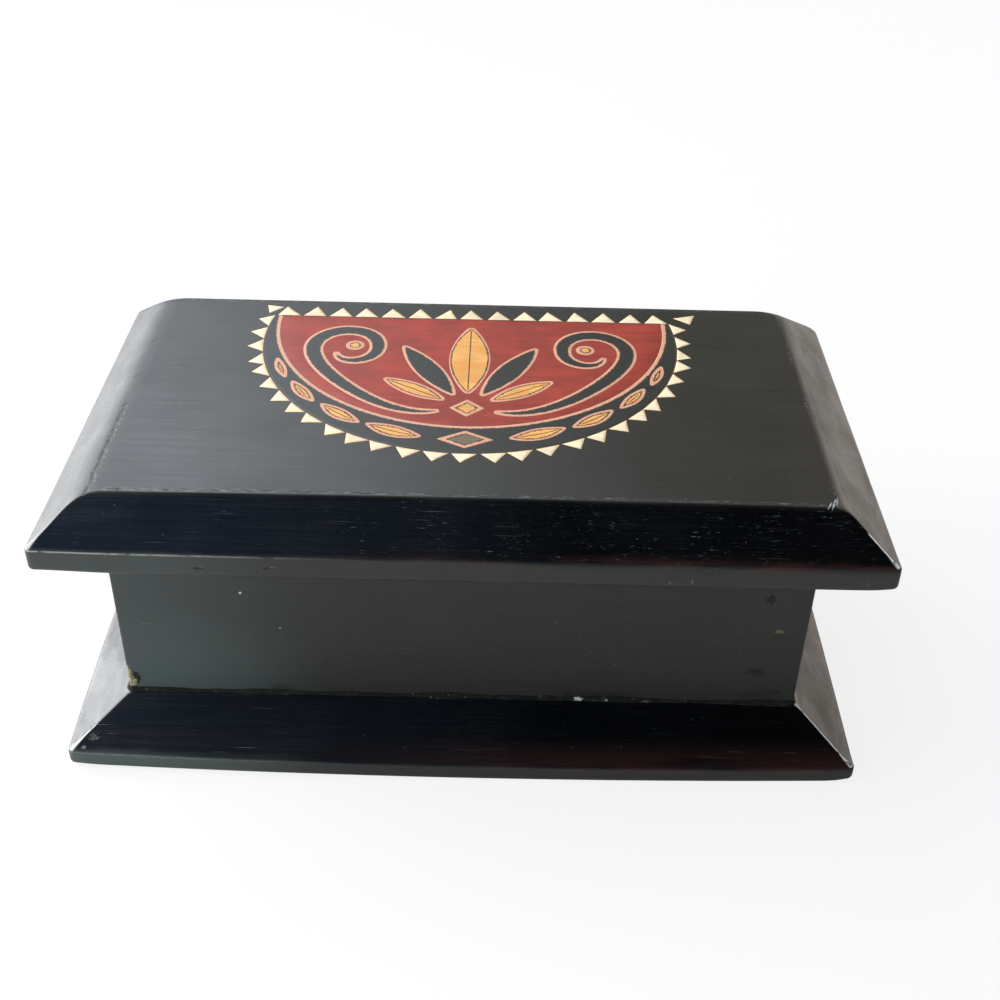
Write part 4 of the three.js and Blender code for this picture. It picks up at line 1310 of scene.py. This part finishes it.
class TRINKETBOX_OT_saw_teeth(BuildOperator):
    """Set the saw teeth round the medallion, each a little different, and the two lone ones."""
    bl_idname = "trinketbox.saw_teeth"
    bl_label = "Saw teeth"

    def execute(self, context):
        finish = veneer("cream_inlay", colours().cream, contrast=0.22, toothed=True)
        plan = ornament()
        rng = np.random.default_rng(17)
        radius = DISC_RADIUS + plan.border
        base = CHORD_Y + plan.border
        start = math.asin((base - DISC_Y) / radius)
        pitch = (math.pi + 2 * start) / plan.arc_teeth
        teeth = []
        for tooth in range(plan.arc_teeth):
            middle = start - (tooth + 0.5) * pitch + rng.normal(0, 0.03) * pitch
            half = pitch * rng.uniform(0.44, 0.49)
            tip = radius + plan.arc_tooth * rng.uniform(0.95, 1.1)
            lean = rng.normal(0, 0.08) * pitch
            angles = np.array([middle + half, middle - half, middle + lean])
            reach = np.array([radius, radius, tip])
            teeth.append(self.tooth(DISC_X + reach * np.cos(angles), DISC_Y + reach * np.sin(angles)))
        half_chord = radius * math.cos(start)
        pitch = 2 * half_chord / plan.chord_teeth
        for tooth in range(plan.chord_teeth):
            x = DISC_X - half_chord + (tooth + 0.5) * pitch + rng.normal(0, 0.03) * pitch
            half = pitch * rng.uniform(0.42, 0.47)
            tip = base + plan.chord_tooth * rng.uniform(0.96, 1.06)
            lean = rng.normal(0, 0.06) * pitch
            teeth.append(self.tooth([x + half, x - half, x + lean], [base, base, tip]))
        piece("saw_teeth", teeth, finish, "lid", ["tooth_border"])
        for name, corners in LONE_TEETH.items():
            piece(name, [self.tooth(*(MM * np.transpose(corners)))], finish, "lid", [name])
        return {"FINISHED"}

    def tooth(self, x, y):
        """A tooth from the x and the y of its three corners, drawn in towards its incentre."""
        corners = np.stack([x, y], axis=-1)
        if np.cross(corners[1] - corners[0], corners[2] - corners[0]) < 0:
            corners = corners[::-1]
        sides = np.linalg.norm(np.roll(corners, -1, axis=0) - np.roll(corners, 1, axis=0), axis=-1)
        centre = (corners * sides[:, None]).sum(axis=0) / sides.sum()
        top = lid_top() + 0.01 * MM
        return plate(polygon(corners, 4), centre, 1.0 * MM, top, steps=(0, 0.05, 0.5, 0.9))


class TRINKETBOX_OT_hardware(BuildOperator):
    """Give the hinges and screws of the frame their brass and steel."""
    bl_idname = "trinketbox.hardware"
    bl_label = "Hardware"

    brass_parts = ("wall_leaf", "lid_leaf", "hinge_pin", "wall_screw", "lid_screw")

    def execute(self, context):
        brass = metal("hinge_brass", colours().brass, 0.34)
        steel = metal("screw_steel", colours().steel, 0.38)
        for name, node in frame["nodes"].items():
            if name.startswith("base_screw"):
                finish, slot = steel, "screw_steel"
            elif name.startswith(self.brass_parts):
                finish, slot = brass, "hinge_brass"
            else:
                continue
            node.data.materials.clear()
            node.data.materials.append(finish)
        return {"FINISHED"}


class TRINKETBOX_OT_foot_glue(BuildOperator):
    """Run the line of glue and dust along the foot of the walls."""
    bl_idname = "trinketbox.foot_glue"
    bl_label = "Foot glue"

    def execute(self, context):
        # Corners of the line's section: how far out from the walls and how far up from the base
        width = sizes().foot_fillet
        sunk = -0.4 * MM
        reach = np.array([sunk, width, 0.55 * width, 0.08 * MM, sunk])
        climb = np.array([-0.3 * MM, -0.25 * MM, 0.3 * width, width, width])
        rows = rounded_rings(
            -HALF_BODY - reach + WALL_SHIFT, HALF_BODY + reach + WALL_SHIFT, -BACK_FACE - reach,
            BACK_FACE + reach, 1.2 * MM + reach.clip(0), BASE_HIGH.z + climb)
        swell = 1 + 0.75 * waves(rows[1:2], 0.02, 8) + 0.3 * waves(rows[1:2], 0.005, 9)
        core = rows[3:4].copy()
        core[..., 2] = BASE_HIGH.z - 0.2 * MM
        rows[1:4] = core + (rows[1:4] - core) * np.clip(swell, 0.25, 1.6)[..., None]
        band = rows.transpose(1, 0, 2)[:, ::-1]
        index = np.arange(band.shape[0] * band.shape[1]).reshape(band.shape[:2])
        onward = np.roll(index, -1, axis=0)
        ahead = np.roll(index, -1, axis=1)
        faces = np.stack([index, ahead, np.roll(ahead, -1, axis=0), onward], axis=-1).reshape(-1, 4)
        ring = (band.reshape(-1, 3), faces.tolist(), {})
        piece("foot_glue", [ring], glue("foot_glue"), "carcass")
        return {"FINISHED"}


def toward(azimuth, elevation):
    """The unit vector at an azimuth and an elevation in degrees.

    The azimuth runs clockwise from the back, seen from above.
    """
    around, up = math.radians(azimuth), math.radians(elevation)
    return np.array([math.sin(around) * math.cos(up), math.cos(around) * math.cos(up), math.sin(up)])


# Lobes of the studio's light: azimuth and elevation in degrees, sharpness, colour times strength
SKY_LOBES = {
    "low left front": (226, 8, 20, (10.5, 12.2, 12.3)),
    "low left back": (298, 8, 24, (29.5, 30.3, 31.2)),
    "low back": (330, 8, 20, (1.0, 1.15, 1.3)),
    "window behind left": (334, 43, 28, (5.7, 6.0, 6.7)),
    "glow behind": (357, 35, 20, (0.3, 0.32, 0.15)),
    "low right back": (45, 8, 20, (4.6, 4.1, 3.6)),
    "mid right back": (45, 35, 20, (0.95, 0.82, 0.78)),
    "blue front left": (222, 46, 20, (0.04, 0.22, 0.6)),
}


class TRINKETBOX_OT_stage(BuildOperator):
    """Set the floor, the light and the camera."""
    bl_idname = "trinketbox.stage"
    bl_label = "Stage"

    # The camera: its place, its turns in degrees, its focal length and sensor in millimetres
    camera_place = (7.27 * MM, -299.64 * MM, 260.58 * MM)
    yaw, pitch, roll = 0.156, 35.835, 1.409
    lens = 48.81
    sensor_width = 36

    # How white the floor looks to the eye, how much of that its reflection has, and its half width
    floor_white = 0.84
    floor_mirrored = 0.35
    floor_reach = 3.0

    # The softbox: azimuth, elevation and distance from the box, in degrees and metres
    softbox_place = (268, 35, 0.8)
    softbox_radius = 0.2
    softbox_power = 7.5
    softbox_tone = (1.0, 0.985, 0.96)

    def execute(self, context):
        self.floor()
        self.softbox()
        self.sky(context.scene)
        self.camera(context.scene)
        context.scene.view_settings.view_transform = "Standard"
        return {"FINISHED"}

    def floor(self):
        """A table top that looks nearly white, and less so in reflections; its shadow stays soft."""
        reach = self.floor_reach
        mesh = bpy.data.meshes.new("floor")
        z = BASE_LOW.z - 0.05 * MM
        mesh.from_pydata([(-reach, -reach, z), (reach, -reach, z), (reach, reach, z), (-reach, reach, z)],
                         [], [(0, 1, 2, 3)])
        floor = bpy.data.objects.new("floor", mesh)
        bpy.context.scene.collection.objects.link(floor)
        made = Finish("floor", {
            "Base Color": colours().floor, "Roughness": 0.8, "Specular IOR Level": 0.1})
        white = made.node("Emission", {"Color": (1, 1, 1), "Strength": 1.0})
        share = made.times(made.seen(self.floor_mirrored), self.floor_white)
        made.show(share, made.shader.outputs[0], white)
        mesh.materials.append(made.material)

    def softbox(self):
        """A round soft lamp to the left, near enough for its light to fall off across the box."""
        azimuth, elevation, distance = self.softbox_place
        middle = np.array([0, 0, LID_HIGH.z / 2])
        place = middle + distance * toward(azimuth, elevation)
        data = bpy.data.lights.new("softbox", "AREA")
        data.shape = "DISK"
        data.size = 2 * self.softbox_radius
        data.energy = self.softbox_power
        data.color = self.softbox_tone
        lamp = bpy.data.objects.new("softbox", data)
        bpy.context.scene.collection.objects.link(lamp)
        aim = Vector(toward(azimuth, elevation)).to_track_quat("Z", "Y")
        lamp.matrix_world = Matrix.Translation(place) @ aim.to_matrix().to_4x4()

    def sky(self, scene):
        """Light by direction, a sum of lobes that fall off with the angle; plain white to the eye."""
        scene.world = bpy.data.worlds.new("studio")
        scene.world.use_nodes = True
        made = Nodes(scene.world.node_tree)
        direction = made.node("TexCoord", out="Generated")
        total = None
        for azimuth, elevation, sharpness, tone in SKY_LOBES.values():
            near = made.node("VectorMath", {0: direction, 1: toward(azimuth, elevation)}, out="Value",
                             operation="DOT_PRODUCT")
            power = made.math("EXPONENT", made.math("MULTIPLY_ADD", near, sharpness, -sharpness))
            lobe = made.node("VectorMath", {0: tone, "Scale": power}, operation="SCALE")
            if total is None:
                total = lobe
            else:
                total = made.node("VectorMath", {0: total, 1: lobe}, operation="ADD")
        background = made.found("BACKGROUND")
        made.feed(background.inputs["Color"], total)
        white = made.node("Background", {"Color": (1, 1, 1)})
        made.show(made.seen(), background.outputs[0], white)

    def camera(self, scene):
        """The camera looks along +Y turned by the yaw, down by the pitch, and rolls about its view."""
        yaw, pitch, roll = (math.radians(angle) for angle in (self.yaw, self.pitch, self.roll))
        forward = np.array([math.sin(yaw), math.cos(yaw), 0])
        ahead = math.cos(pitch) * forward - math.sin(pitch) * np.array([0, 0, 1])
        level = np.array([math.cos(yaw), -math.sin(yaw), 0])
        upward = np.cross(level, ahead)
        right = math.cos(roll) * level + math.sin(roll) * upward
        top = math.cos(roll) * upward - math.sin(roll) * level
        data = bpy.data.cameras.new("camera")
        data.sensor_width = self.sensor_width
        data.lens = self.lens
        data.clip_start = 0.01
        camera = bpy.data.objects.new("camera", data)
        scene.collection.objects.link(camera)
        turned = Matrix(np.stack([right, top, -ahead], axis=1).tolist()).to_4x4()
        camera.matrix_world = Matrix.Translation(self.camera_place) @ turned
        scene.camera = camera


STEPS = (
    TRINKETBOX_OT_base_board,
    TRINKETBOX_OT_walls,
    TRINKETBOX_OT_lid_board,
    TRINKETBOX_OT_medallion_ground,
    TRINKETBOX_OT_motifs,
    TRINKETBOX_OT_saw_teeth,
    TRINKETBOX_OT_hardware,
    TRINKETBOX_OT_foot_glue,
    TRINKETBOX_OT_stage,
)


class TRINKETBOX_PT_panel(bpy.types.Panel):
    """Sidebar panel with the sizes, the colours and one button for each step."""
    bl_idname = "TRINKETBOX_PT_panel"
    bl_label = "Trinket Box"
    bl_space_type = "VIEW_3D"
    bl_region_type = "UI"
    bl_category = "Trinket Box"

    def draw(self, context):
        for group in (sizes(), colours(), ornament()):
            column = self.layout.column(align=True)
            for key in group.bl_rna.properties.keys():
                if key not in ("rna_type", "name"):
                    column.prop(group, key)
        for step in STEPS:
            self.layout.operator(step.bl_idname)


GROUPS = {
    "trinket_box_sizes": TrinketBoxSizes,
    "trinket_box_colours": TrinketBoxColours,
    "trinket_box_ornament": TrinketBoxOrnament,
}


def register():
    for kind in (*GROUPS.values(), *STEPS, TRINKETBOX_PT_panel):
        bpy.utils.register_class(kind)
    for name, group in GROUPS.items():
        setattr(bpy.types.Scene, name, PointerProperty(type=group))


def unregister():
    for name in GROUPS:
        delattr(bpy.types.Scene, name)
    for kind in reversed((*GROUPS.values(), *STEPS, TRINKETBOX_PT_panel)):
        bpy.utils.unregister_class(kind)


def main():
    register()
    for step in STEPS:
        group, _, call = step.bl_idname.partition(".")
        getattr(getattr(bpy.ops, group), call)()


if __name__ == "__main__":
    main()
